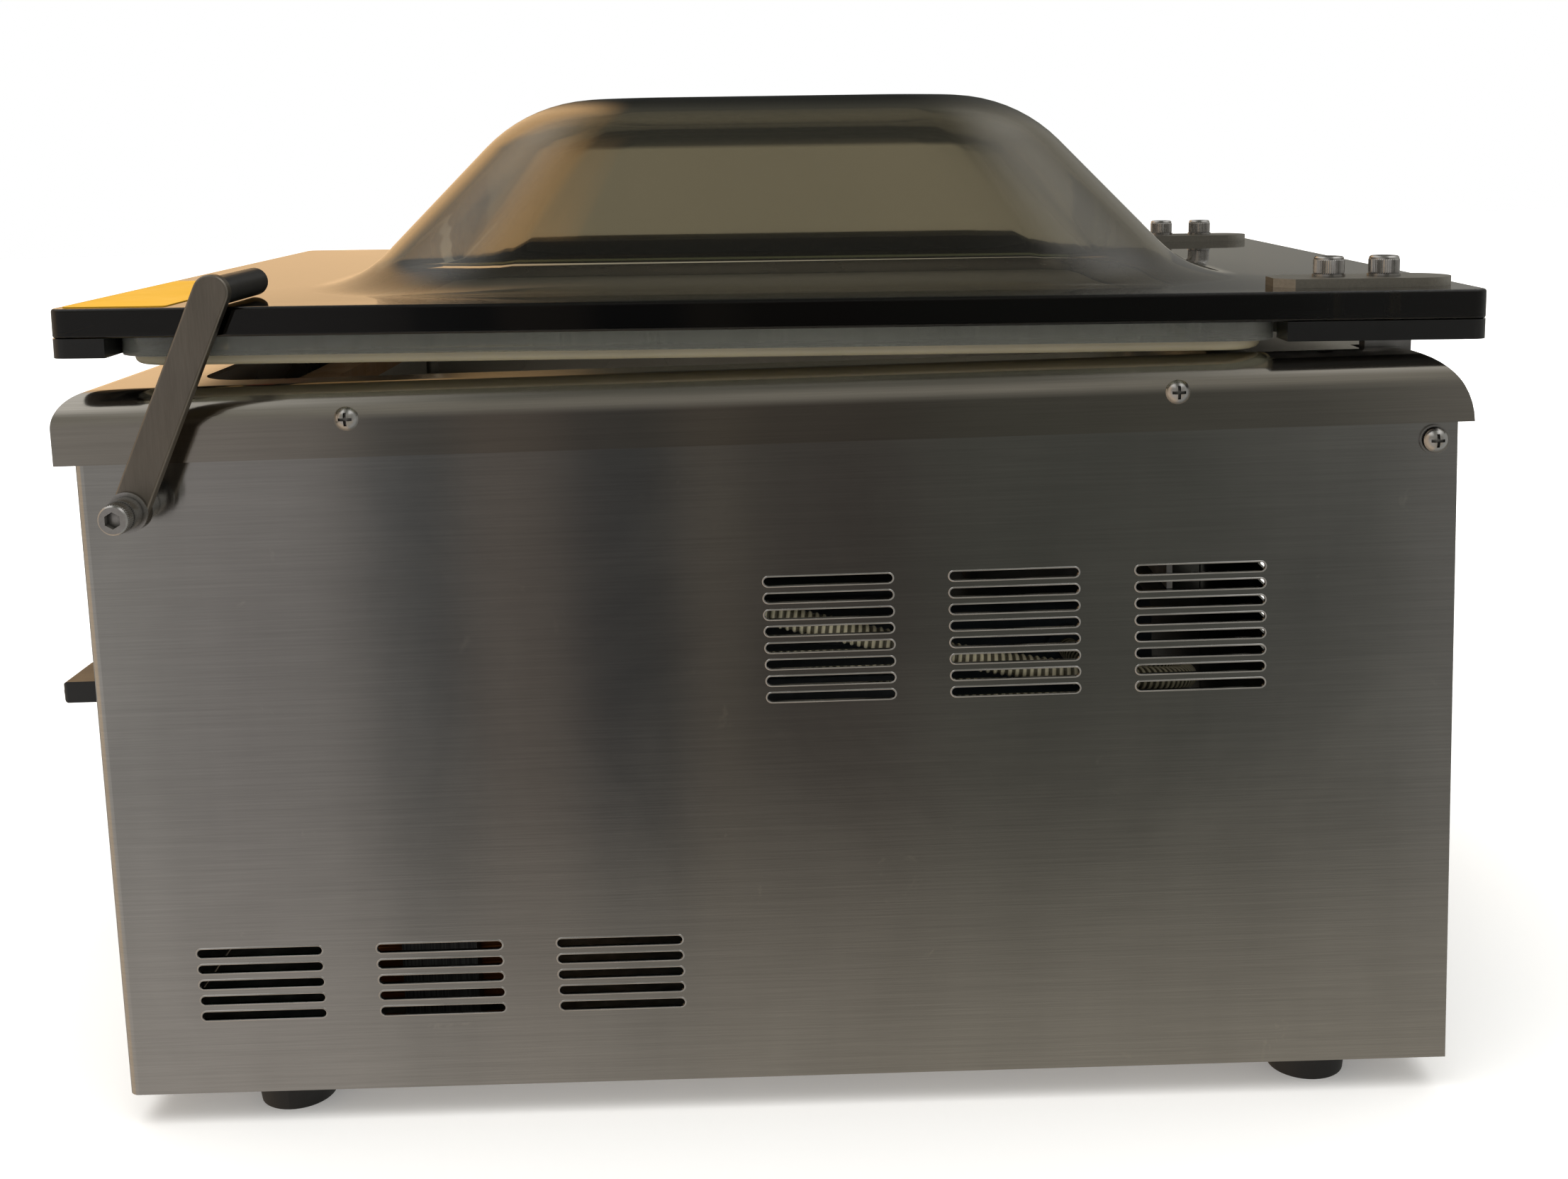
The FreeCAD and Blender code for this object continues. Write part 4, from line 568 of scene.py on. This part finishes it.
def yellow_label():
    """Blank vinyl label, a little faded in patches."""
    shade = Shade("yellow_label", (0.62, 0.34, 0.030), 0.4)
    shade.set("Specular IOR Level", 0.03)
    shade.tint(shade.noise(15.0, 4.0), 0.08)
    shade.stain(shade.noise(55.0, 5.0, (1, 1, 1), 0.6, 0.7), (0.62, 0.34, 0.07), 0.62, 0.75)
    shade.rough(shade.noise(45.0, 3.0), 0.34, 0.48)
    shade.bump(shade.noise(50.0, 3.0), 0.00006, 0.4)
    return shade.material


def copper_winding():
    shade = Shade("copper_winding", (0.42, 0.15, 0.05), 0.3, 0.8)
    turns = shade.noise(1.0, 0.0, (30, 30, 1400))
    shade.tint(turns, 0.3)
    shade.bump(turns, 0.0002, 0.8)
    return shade.material


def laminations():
    shade = Shade("core_laminations", grey(0.12), 0.5, 0.7)
    sheets = shade.noise(1.0, 0.0, (20, 1800, 20))
    shade.tint(sheets, 0.35)
    shade.bump(sheets, 0.0001, 0.6)
    return shade.material


def circuit_board():
    shade = Shade("circuit_board", (0.02, 0.13, 0.05), 0.4)
    cells = shade.nodes.new("ShaderNodeTexVoronoi")
    cells.distance = "MANHATTAN"
    cells.inputs["Scale"].default_value = 220.0
    shade.links.new(shade.coordinates, cells.inputs["Vector"])
    shade.stain(cells.outputs["Distance"], (0.04, 0.22, 0.09), 0.4, 0.45)
    shade.bump(cells.outputs["Distance"], 0.00005, 0.4)
    return shade.material


def make_materials():
    """The material of every slot in the record."""
    return {
        "case_steel": brushed_case(),
        "vent_rim": vent_rim(),
        "deck_steel": brushed_deck(),
        "tub_steel": bright_tub(),
        "zinc_plate": galvanised(),
        "bright_steel": bright_steel(),
        "lever_steel": lever_steel(),
        "black_rubber": moulded("foot_rubber", grey(0.012), 0.62, 0.15, 0.00006),
        "black_plastic": moulded("black_plastic", grey(0.014), 0.36),
        "white_plastic": moulded("white_board", grey(0.72, 0.01), 0.45, 0.03),
        "grey_plastic": moulded("grey_plastic", grey(0.22), 0.42),
        "red_plastic": moulded("red_button", (0.42, 0.018, 0.012), 0.28),
        "green_plastic": moulded("green_button", (0.018, 0.22, 0.06), 0.28),
        "smoked_acrylic": lid_acrylic(),
        "black_acrylic": black_acrylic(),
        "clear_acrylic": clear_acrylic(),
        "cream_silicone": cream_silicone(),
        "red_silicone": moulded("red_silicone", (0.40, 0.10, 0.055), 0.5, 0.08),
        "anodised_bar": moulded_metal("anodised_bar", grey(0.50, 0.01), 0.34),
        "nichrome": moulded_metal("nichrome_strip", (0.36, 0.33, 0.28), 0.3),
        "ptfe_tape": woven_tape(),
        "bronze": moulded_metal("sintered_bronze", (0.45, 0.26, 0.10), 0.42),
        "panel_film": panel_film(),
        "display_glass": moulded("display_window", (0.05, 0.004, 0.004), 0.12, 0.1, 0.00001),
        "board_green": circuit_board(),
        "dial_white": printed_dial(),
        "clear_glass": clear_lens(),
        "label_yellow": yellow_label(),
        "cast_grey": cast_paint("pump_casting", (0.075, 0.095, 0.115)),
        "motor_grey": cast_paint("motor_casting", (0.16, 0.18, 0.20)),
        "filter_white": cast_paint("filter_can", (0.22, 0.215, 0.20)),
        "core_steel": laminations(),
        "copper_wire": copper_winding(),
        "hose_pvc": hose_shade(),
    }


def moulded_metal(name, colour, roughness):
    """Bare machined or extruded metal with die lines along X."""
    shade = Shade(name, colour, roughness, 1.0)
    lines = shade.noise(1100.0, 3.0, (0.02, 1, 1), 0.6)
    shade.tint(lines, 0.08)
    shade.rough(shade.noise(40.0, 3.0), roughness - 0.06, roughness + 0.08)
    shade.bump(lines, 0.00002, 0.5)
    return shade.material


# ---------------------------------------------------------------- mesh kit
def add_piece(name, verts, faces, material, body, smooth=True):
    data = bpy.data.meshes.new(name)
    data.from_pydata([tuple(v) for v in verts], [], faces)
    data.validate()
    piece = bpy.data.objects.new(name, data)
    bpy.context.scene.collection.objects.link(piece)
    data.materials.append(material)
    for polygon in data.polygons:
        polygon.use_smooth = smooth
    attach(piece, body)
    return piece


# ---------------------------------------------------------------- screws
def knurled_sleeve(verts, faces, centre, axis, radius, low, high, teeth=44, depth=0.00022):
    """Ridges round the head of a cap screw, between two heights along its axis."""
    across = axis.orthogonal().normalized()
    other = axis.cross(across)
    start = len(verts)
    count = 2 * teeth
    levels = [(low, 0.0), (low + 0.0004, 1.0), (high - 0.0004, 1.0), (high, 0.0)]
    for level, proud in levels:
        for i in range(count):
            r = radius + (depth * proud if i % 2 else 0.00002)
            a = math.tau * i / count
            verts.append(centre + axis * level + across * (r * math.cos(a)) + other * (r * math.sin(a)))
    for ring in range(len(levels) - 1):
        for i in range(count):
            a = start + ring * count + i
            b = start + ring * count + (i + 1) % count
            faces.append((a, b, b + count, a + count))
    return verts, faces


def solid_parts(node):
    """The separate pieces of a CAD node, each as a list of its points."""
    mesh = bmesh.new()
    mesh.from_mesh(frame["nodes"][node].data)
    bmesh.ops.remove_doubles(mesh, verts=mesh.verts, dist=1e-6)
    left = set(mesh.verts)
    parts = []
    while left:
        reached = [left.pop()]
        for vert in reached:
            for edge in vert.link_edges:
                other = edge.other_vert(vert)
                if other in left:
                    left.remove(other)
                    reached.append(other)
        parts.append([v.co.copy() for v in reached])
    mesh.free()
    return parts


def middle_of(points):
    low = Vector([min(p[i] for p in points) for i in range(3)])
    high = Vector([max(p[i] for p in points) for i in range(3)])
    return (low + high) / 2


def head_place(points, axis, head):
    """Middle of the underside of a screw's head, from the screw's own points."""
    top = max(p.dot(axis) for p in points)
    rim = [p for p in points if p.dot(axis) > top - 0.1 * head]
    return middle_of(rim) - axis * head


def add_knurls(materials):
    head = 6.0 * MM
    radius = 5.0 * MM
    low, high = 0.3 * MM, head - 0.7 * MM
    verts, faces = [], []
    for points in solid_parts("hinge_screws"):
        knurled_sleeve(verts, faces, head_place(points, lid_up(), head), lid_up(), radius, low, high)
    add_piece("hinge_screw_knurls", verts, faces, materials["bright_steel"], "lid", False)
    verts, faces = [], []
    outwards = Vector((1, 0, 0))
    points = solid_parts("lever_bolt")[0]
    knurled_sleeve(verts, faces, head_place(points, outwards, head), outwards, radius, low, high)
    add_piece("lever_bolt_knurl", verts, faces, materials["bright_steel"], "cabinet", False)


# ---------------------------------------------------------------- lid
def round_loop(verts, half_x, y0, y1, corner, height, place, steps=12):
    """Adds a rounded rectangle of points at a height, carried to the lid's resting place."""
    first = len(verts)
    middles = ((half_x - corner, y1 - corner), (corner - half_x, y1 - corner),
               (corner - half_x, y0 + corner), (half_x - corner, y0 + corner))
    for quarter, (x, y) in enumerate(middles):
        for i in range(steps + 1):
            a = math.pi / 2 * (quarter + i / steps)
            point = Vector((x + corner * math.cos(a), y + corner * math.sin(a), height)) * MM
            verts.append(place @ point)
    return list(range(first, len(verts)))


def wall_line(foot, crown, low, inset, crown_z, steep, steps=10):
    """Inset and height up the blown wall: a foot arc, a straight slope and a crown arc."""
    crown_start = inset - crown * math.sin(steep)
    foot_rise = foot * (1 - math.cos(steep))
    climb = crown_z + crown * math.cos(steep) - low - foot_rise
    foot_start = crown_start - climb / math.tan(steep) - foot * math.sin(steep)
    points = []
    for i in range(steps + 1):
        a = steep * i / steps
        points.append((foot_start + foot * math.sin(a), low + foot * (1 - math.cos(a))))
    for i in range(steps + 1):
        a = steep * (1 - i / steps)
        points.append((inset - crown * math.sin(a), crown_z + crown * math.cos(a)))
    return points


def add_lid_cover(materials):
    """The blown lid as one smooth closed skin, in millimetres from the hinge line of the closed lid."""
    thick, low, edge = 10.0, 36.2, 1.0
    half_w, front, rear, sheet_corner = 165.0, -453.6, 26.4, 5.0
    dome_x, dome_y, dome_middle, dome_corner, corner_slope = 137.0, 176.0, -212.3, 62.0, 0.3
    rise, wall, foot, crown, steep = 70.0, 5.0, 35.0, 57.0, math.radians(48.0)
    place = Matrix.Translation(hinge_place) @ Matrix.Rotation(-LID_REST, 4, "X")
    crown_z = rise - crown
    run = (crown_z + (crown + foot) * math.cos(steep) - foot) / math.tan(steep)
    inset = (foot + crown) * math.sin(steep) + run
    verts, loops = [], []

    def sheet_loop(inside, height):
        corner = max(sheet_corner - inside, 0.5)
        loops.append(round_loop(verts, half_w - inside, front + inside, rear - inside, corner, height, place))

    def dome_loop(inside, height):
        corner = dome_corner - corner_slope * inside
        loops.append(round_loop(verts, dome_x - inside, dome_middle - dome_y + inside,
                                dome_middle + dome_y - inside, corner, height, place))

    for inside, height in reversed(wall_line(foot - wall, crown - wall, 0.0, inset, crown_z + thick, steep)):
        dome_loop(inside, low + height)
    sheet_loop(edge + 0.4, low)
    for i in range(5):
        a = math.pi / 2 * i / 4
        sheet_loop(edge * (1 - math.sin(a)), low + edge * (1 - math.cos(a)))
    sheet_loop(0.0, low + edge + 0.3)
    sheet_loop(0.0, low + thick - edge - 0.3)
    for i in range(5):
        a = math.pi / 2 * i / 4
        sheet_loop(edge * (1 - math.cos(a)), low + thick - edge * (1 - math.sin(a)))
    sheet_loop(edge + 0.4, low + thick)
    for inside, height in wall_line(foot, crown, 0.0, inset, crown_z, steep):
        dome_loop(inside, low + thick + height)
    faces = [tuple(reversed(loops[0])), tuple(loops[-1])]
    for below, above in zip(loops, loops[1:]):
        count = len(below)
        for i in range(count):
            j = (i + 1) % count
            faces.append((below[i], below[j], above[j], above[i]))
    cover = add_piece("smoked_lid", verts, faces, materials["smoked_acrylic"], "lid")
    mesh = bmesh.new()
    mesh.from_mesh(cover.data)
    bmesh.ops.recalc_face_normals(mesh, faces=mesh.faces)
    mesh.to_mesh(cover.data)
    mesh.free()
    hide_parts("lid_cover")


def add_vent_rims(materials):
    """Rolled lips round the punched slots of both side walls."""
    length, height, pitch, column_pitch = 44.3, 3.0, 5.885, 64.0
    bead, proud, steps = 0.55, 0.22, 8
    blocks = ((-1.4, 193.6, 8), (-207.0, 64.8, 5))
    middle = 10.084
    verts, faces = [], []
    sections = ((0.05, 0.05), (0.2 * bead, proud), (0.8 * bead, proud), (bead + 0.1, -0.05))
    for side, wall in ((-1, case_low.x), (1, case_high.x)):
        for first_y, top_z, rows in blocks:
            for column in range(3):
                for row in range(rows):
                    y0 = first_y + column * column_pitch + middle
                    z = top_z - row * pitch
                    start = len(verts)
                    for out, up in sections:
                        radius = height / 2 + out
                        for quarter, y in ((-1, y0 + length - height / 2), (1, y0 + height / 2)):
                            for i in range(steps + 1):
                                a = math.pi / 2 * quarter + math.pi * i / steps
                                verts.append((wall + side * up * MM, (y + radius * math.cos(a)) * MM,
                                              (z + radius * math.sin(a)) * MM))
                    count = 2 * (steps + 1)
                    for ring in range(len(sections) - 1):
                        for i in range(count):
                            a = start + ring * count + i
                            b = start + ring * count + (i + 1) % count
                            face = (a, b, b + count, a + count)
                            faces.append(face if side < 0 else tuple(reversed(face)))
    add_piece("vent_rims", verts, faces, materials["vent_rim"], "cabinet")


# ---------------------------------------------------------------- hose
def hose_points():
    """Route of the suction hose, from under the chamber to the pump, round the middle of the case."""
    tub_half = 133.0
    pump_side = 26.0
    return [(tub_half - 43, -70, 216.5), (tub_half - 43, -70, 186), (tub_half - 22, -42, 180),
            (tub_half + 1, -14, 180), (tub_half + 5, 22, 171), (tub_half + 5, 72, 158),
            (tub_half + 5, 120, 150), (tub_half - 12, 152, 143), (tub_half - 46, 158, 136),
            (pump_side + 44, 136, 131), (pump_side + 22, 122, 130), (pump_side, 122, 130)]


def smooth_line(points, step):
    """Points at even steps along the smooth line that the route's points steer."""
    data = bpy.data.curves.new("route", "CURVE")
    data.dimensions = "3D"
    spline = data.splines.new("NURBS")
    spline.points.add(len(points) - 1)
    for target, point in zip(spline.points, points):
        target.co = (*point, 1)
    spline.order_u = 3
    spline.use_endpoint_u = True
    spline.resolution_u = 24
    holder = bpy.data.objects.new("route", data)
    mesh = bpy.data.meshes.new_from_object(holder)
    line = [v.co.copy() for v in mesh.vertices]
    bpy.data.objects.remove(holder)
    bpy.data.curves.remove(data)
    bpy.data.meshes.remove(mesh)
    even = [line[0]]
    travelled = 0.0
    for a, b in zip(line, line[1:]):
        span = (b - a).length
        while travelled + span >= step:
            a = a.lerp(b, (step - travelled) / span)
            even.append(a.copy())
            span = (b - a).length
            travelled = 0.0
        travelled += span
    return even


def ring_round(centre, side, other, radii):
    """One ring of points round a centre, a radius for each."""
    points = []
    for k, r in enumerate(radii):
        a = math.tau * k / len(radii)
        points.append(centre + side * (r * math.cos(a)) + other * (r * math.sin(a)))
    return points


def bridge(faces, first, second, sides):
    """Quads between two rings of the same number of points."""
    for k in range(sides):
        following = (k + 1) % sides
        faces.append((first + k, first + following, second + following, second + k))


def add_hose(materials):
    """Hose with a wire wound round it: the wall swells over the wire in a close screw line."""
    pitch = 2.6 * MM
    radius = 4.4 * MM
    groove = 0.75 * MM
    bore = 3.0 * MM
    rings_per_turn = 8
    sides = 20
    middle = Vector((centre_x, centre_y, 0))
    line = smooth_line([Vector(p) * MM + middle for p in hose_points()], pitch / rings_per_turn)
    verts, faces, ridges = [], [], []
    side = Vector((0, 1, 0))
    frames = []
    for i, point in enumerate(line):
        ahead = (line[min(i + 1, len(line) - 1)] - line[max(i - 1, 0)]).normalized()
        side = (side - ahead * side.dot(ahead)).normalized()
        frames.append((point, side, ahead.cross(side)))
    for i, (point, across, other) in enumerate(frames):
        ridge = [0.5 + 0.5 * math.cos(math.tau * (i / rings_per_turn - k / sides)) for k in range(sides)]
        verts += ring_round(point, across, other, [radius - groove * (1 - share) for share in ridge])
        ridges += ridge
        if i:
            bridge(faces, (i - 1) * sides, i * sides, sides)
    last_outer = (len(frames) - 1) * sides
    inner = frames[::-rings_per_turn]
    if inner[-1] is not frames[0]:
        inner.append(frames[0])
    previous = last_outer
    for point, across, other in inner:
        start = len(verts)
        verts += ring_round(point, across, other, [bore] * sides)
        ridges += [0.0] * sides
        bridge(faces, previous, start, sides)
        previous = start
    bridge(faces, previous, 0, sides)
    hose = add_piece("suction_hose", verts, faces, materials["hose_pvc"], "cabinet")
    attribute = hose.data.attributes.new("ridge", "FLOAT", "POINT")
    for item, value in zip(attribute.data, ridges):
        item.value = value
    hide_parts("vacuum_hose")


# ---------------------------------------------------------------- front panel
def bar_box(verts, faces, x0, x1, z0, z1, face_y, proud):
    """Low raised bar on the front of the case."""
    start = len(verts)
    for y in (face_y, face_y - proud):
        verts += [Vector((x0, y, z0)), Vector((x1, y, z0)), Vector((x1, y, z1)), Vector((x0, y, z1))]
    for quad in ((0, 1, 2, 3), (5, 4, 7, 6), (1, 0, 4, 5), (2, 1, 5, 6), (3, 2, 6, 7), (0, 3, 7, 4)):
        faces.append(tuple(start + i for i in quad))


def slanted_bar(verts, faces, centre, angle, inner, outer, half_width, face_y, proud):
    """Raised mark that points away from a centre on the front of the case."""
    start = len(verts)
    along = Vector((math.sin(angle), 0, math.cos(angle)))
    across = Vector((math.cos(angle), 0, -math.sin(angle)))
    for y in (face_y, face_y - proud):
        for r, s in ((inner, -1), (inner, 1), (outer, 1), (outer, -1)):
            verts.append(Vector((centre.x, y, centre.z)) + along * r + across * (s * half_width))
    for quad in ((0, 1, 2, 3), (5, 4, 7, 6), (1, 0, 4, 5), (2, 1, 5, 6), (3, 2, 6, 7), (0, 3, 7, 4)):
        faces.append(tuple(start + i for i in quad))


def add_text(name, words, place, size, material, body):
    """Flat raised lettering that faces the front."""
    data = bpy.data.curves.new(name, "FONT")
    data.body = words
    data.size = size
    data.align_x = "CENTER"
    data.align_y = "CENTER"
    data.extrude = 0.04 * MM
    holder = bpy.data.objects.new(name, data)
    mesh = bpy.data.meshes.new_from_object(holder)
    bpy.data.objects.remove(holder)
    bpy.data.curves.remove(data)
    turn = Matrix.Translation(place) @ Matrix.Rotation(math.radians(90), 4, "X")
    mesh.transform(turn)
    mesh.materials.clear()
    mesh.materials.append(material)
    piece = bpy.data.objects.new(name, mesh)
    bpy.context.scene.collection.objects.link(piece)
    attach(piece, body)
    return piece


def add_gauge_face(materials):
    """Scale of the vacuum gauge: long and short marks round the dial, with numbers."""
    low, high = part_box("gauge_dial")
    centre = (low + high) / 2
    face_y = low.y
    radius = (high.x - low.x) / 2
    ink = moulded("dial_ink", grey(0.02), 0.5)
    verts, faces = [], []
    marks = 50
    sweep = math.radians(270)
    for i in range(marks + 1):
        long_mark = i % 5 == 0
        inner = radius * (0.80 if long_mark else 0.86)
        width = (0.28 if long_mark else 0.14) * MM
        slanted_bar(verts, faces, centre, -sweep * i / marks, inner, radius * 0.92, width, face_y, 0.05 * MM)
    add_piece("gauge_scale", verts, faces, ink, "cabinet", False)
    for i in range(6):
        angle = -sweep * i / 5
        place = Vector((centre.x + math.sin(angle) * radius * 0.62, face_y - 0.05 * MM,
                        centre.z + math.cos(angle) * radius * 0.62))
        add_text("gauge_number_%d" % i, "%g" % (i * 20), place, 4.2 * MM, ink, "cabinet")


def add_panel_print(materials):
    """Control panel: pale border, rings round the buttons and a lit display."""
    low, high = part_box("control_panel")
    face_y = low.y
    pale = moulded("panel_print", grey(0.62), 0.5, 0.03)
    verts, faces = [], []
    inset = 4.0 * MM
    line = 0.7 * MM
    proud = 0.06 * MM
    x0, x1 = low.x + inset, high.x - inset
    z0, z1 = low.z + inset, high.z - inset
    for bar in ((x0, x1, z1 - line, z1), (x0, x1, z0, z0 + line), (x0, x0 + line, z0 + line, z1 - line),
                (x1 - line, x1, z0 + line, z1 - line)):
        bar_box(verts, faces, *bar, face_y, proud)
    add_piece("panel_border", verts, faces, pale, "cabinet", False)
    verts, faces = [], []
    for number in range(1, 5):
        low_b, high_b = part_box("push_button_%d" % number)
        middle = (low_b + high_b) / 2
        inner, outer = 6.8 * MM, 7.6 * MM
        start = len(verts)
        sides = 40
        for y, r in ((face_y, inner), (face_y - proud, inner), (face_y - proud, outer), (face_y, outer)):
            for k in range(sides):
                a = math.tau * k / sides
                verts.append(Vector((middle.x + r * math.cos(a), y, middle.z + r * math.sin(a))))
        for ring in range(4):
            first = start + ring * sides
            second = start + ((ring + 1) % 4) * sides
            for k in range(sides):
                following = (k + 1) % sides
                faces.append((first + k, second + k, second + following, first + following))
    add_piece("button_rings", verts, faces, pale, "cabinet", False)
    add_button_signs(pale, face_y, proud)
    add_display(face_y)


def add_button_signs(pale, face_y, proud):
    """A plain sign under each button: minus, plus, start and stop."""
    verts, faces = [], []
    arm, thick = 2.0 * MM, 0.35 * MM
    for number in range(1, 5):
        low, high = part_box("push_button_%d" % number)
        x = (low.x + high.x) / 2
        z = low.z - 4.6 * MM
        if number < 3:
            bar_box(verts, faces, x - arm, x + arm, z - thick, z + thick, face_y, proud)
        if number == 2:
            bar_box(verts, faces, x - thick, x + thick, z + thick, z + arm, face_y, proud)
            bar_box(verts, faces, x - thick, x + thick, z - arm, z - thick, face_y, proud)
        if number == 3:
            start = len(verts)
            for y in (face_y, face_y - proud):
                verts += [Vector((x - arm * 0.8, y, z - arm)), Vector((x + arm, y, z)),
                          Vector((x - arm * 0.8, y, z + arm))]
            for face in ((0, 1, 2), (5, 4, 3), (1, 0, 3, 4), (2, 1, 4, 5), (0, 2, 5, 3)):
                faces.append(tuple(start + i for i in face))
        if number == 4:
            bar_box(verts, faces, x - arm * 0.8, x + arm * 0.8, z - arm * 0.8, z + arm * 0.8, face_y, proud)
    add_piece("button_signs", verts, faces, pale, "cabinet", False)


def add_display(face_y):
    """Two lit seven-bar figures behind the window."""
    low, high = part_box("display_window")
    centre = (low + high) / 2
    glow = moulded("lit_figures", (0.75, 0.03, 0.015), 0.3, 0.05)
    glow_shader = glow.node_tree.nodes["Principled BSDF"]
    glow_shader.inputs["Emission Color"].default_value = (1.0, 0.06, 0.02, 1)
    glow_shader.inputs["Emission Strength"].default_value = 1.2
    verts, faces = [], []
    tall, wide, thick, proud = 13.0 * MM, 7.0 * MM, 1.1 * MM, 0.08 * MM
    bars = {"a": (0, 1, 1, 1), "g": (0, 0.5, 1, 0.5), "d": (0, 0, 1, 0), "f": (0, 0.5, 0, 1),
            "b": (1, 0.5, 1, 1), "e": (0, 0, 0, 0.5), "c": (1, 0, 1, 0.5)}
    figures = ("abgcd", "abcdef")
    for place, lit in enumerate(figures):
        left = centre.x + (place - 0.5) * 15.0 * MM - wide / 2
        base = centre.z - tall / 2
        for bar in lit:
            u0, v0, u1, v1 = bars[bar]
            xa, xb = left + u0 * wide, left + u1 * wide
            za, zb = base + v0 * tall, base + v1 * tall
            half = thick / 2
            if v0 == v1:
                bar_box(verts, faces, xa + thick, xb - thick, za - half, za + half, low.y, proud)
            else:
                bar_box(verts, faces, xa - half, xa + half, za + thick, zb - thick, low.y, proud)
    add_piece("display_figures", verts, faces, glow, "cabinet", False)


def add_switch_marks(materials):
    """Pointer line on the turning knob, and the two positions printed on its plate."""
    low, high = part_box("switch_knob")
    plate_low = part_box("switch_body")[0]
    centre = (low + high) / 2
    pale = moulded("switch_print", grey(0.68), 0.45, 0.03)
    verts, faces = [], []
    bar_box(verts, faces, centre.x + 1.0 * MM, high.x - 3.4 * MM, centre.z - 0.6 * MM, centre.z + 0.6 * MM,
            low.y + 0.01 * MM, 0.07 * MM)
    add_piece("knob_pointer_line", verts, faces, pale, "main_switch", False)
    for words, across, up in (("0", 16.9, 0.0), ("1", 0.0, 16.9)):
        place = Vector((centre.x + across * MM, plate_low.y - 0.02 * MM, centre.z + up * MM))
        add_text("switch_mark_" + words, words, place, 3.0 * MM, pale, "cabinet")


# ---------------------------------------------------------------- assembly
def paint_frame(materials):
    """Gives every CAD node the material of its slot in the record."""
    for part in frame["record"]["subparts"]:
        node = frame["nodes"][part["node"]]
        material = materials[part["material_slot"]]
        node.data.materials.clear()
        node.data.materials.append(material)
        for polygon in node.data.polygons:
            polygon.material_index = 0
    frame["nodes"]["hinge_plates"].data.materials[0] = strap_steel()


bpy.context.scene.view_settings.view_transform = "Standard"
add_camera()
add_world()
add_floor()
add_light("soft_top", (0.2, -0.1, 1.9), (0, 0, 0), (2.6, 2.6), 50.0, (1.0, 0.99, 0.97))
add_light("soft_lever_side", (2.2, 0.0, 1.2), (0, 0, 0.2), (1.6, 1.6), 8.0, (1.0, 0.98, 0.95))
shades = make_materials()
paint_frame(shades)
add_lid_cover(shades)
add_vent_rims(shades)
add_knurls(shades)
add_hose(shades)
add_gauge_face(shades)
add_panel_print(shades)
add_switch_marks(shades)
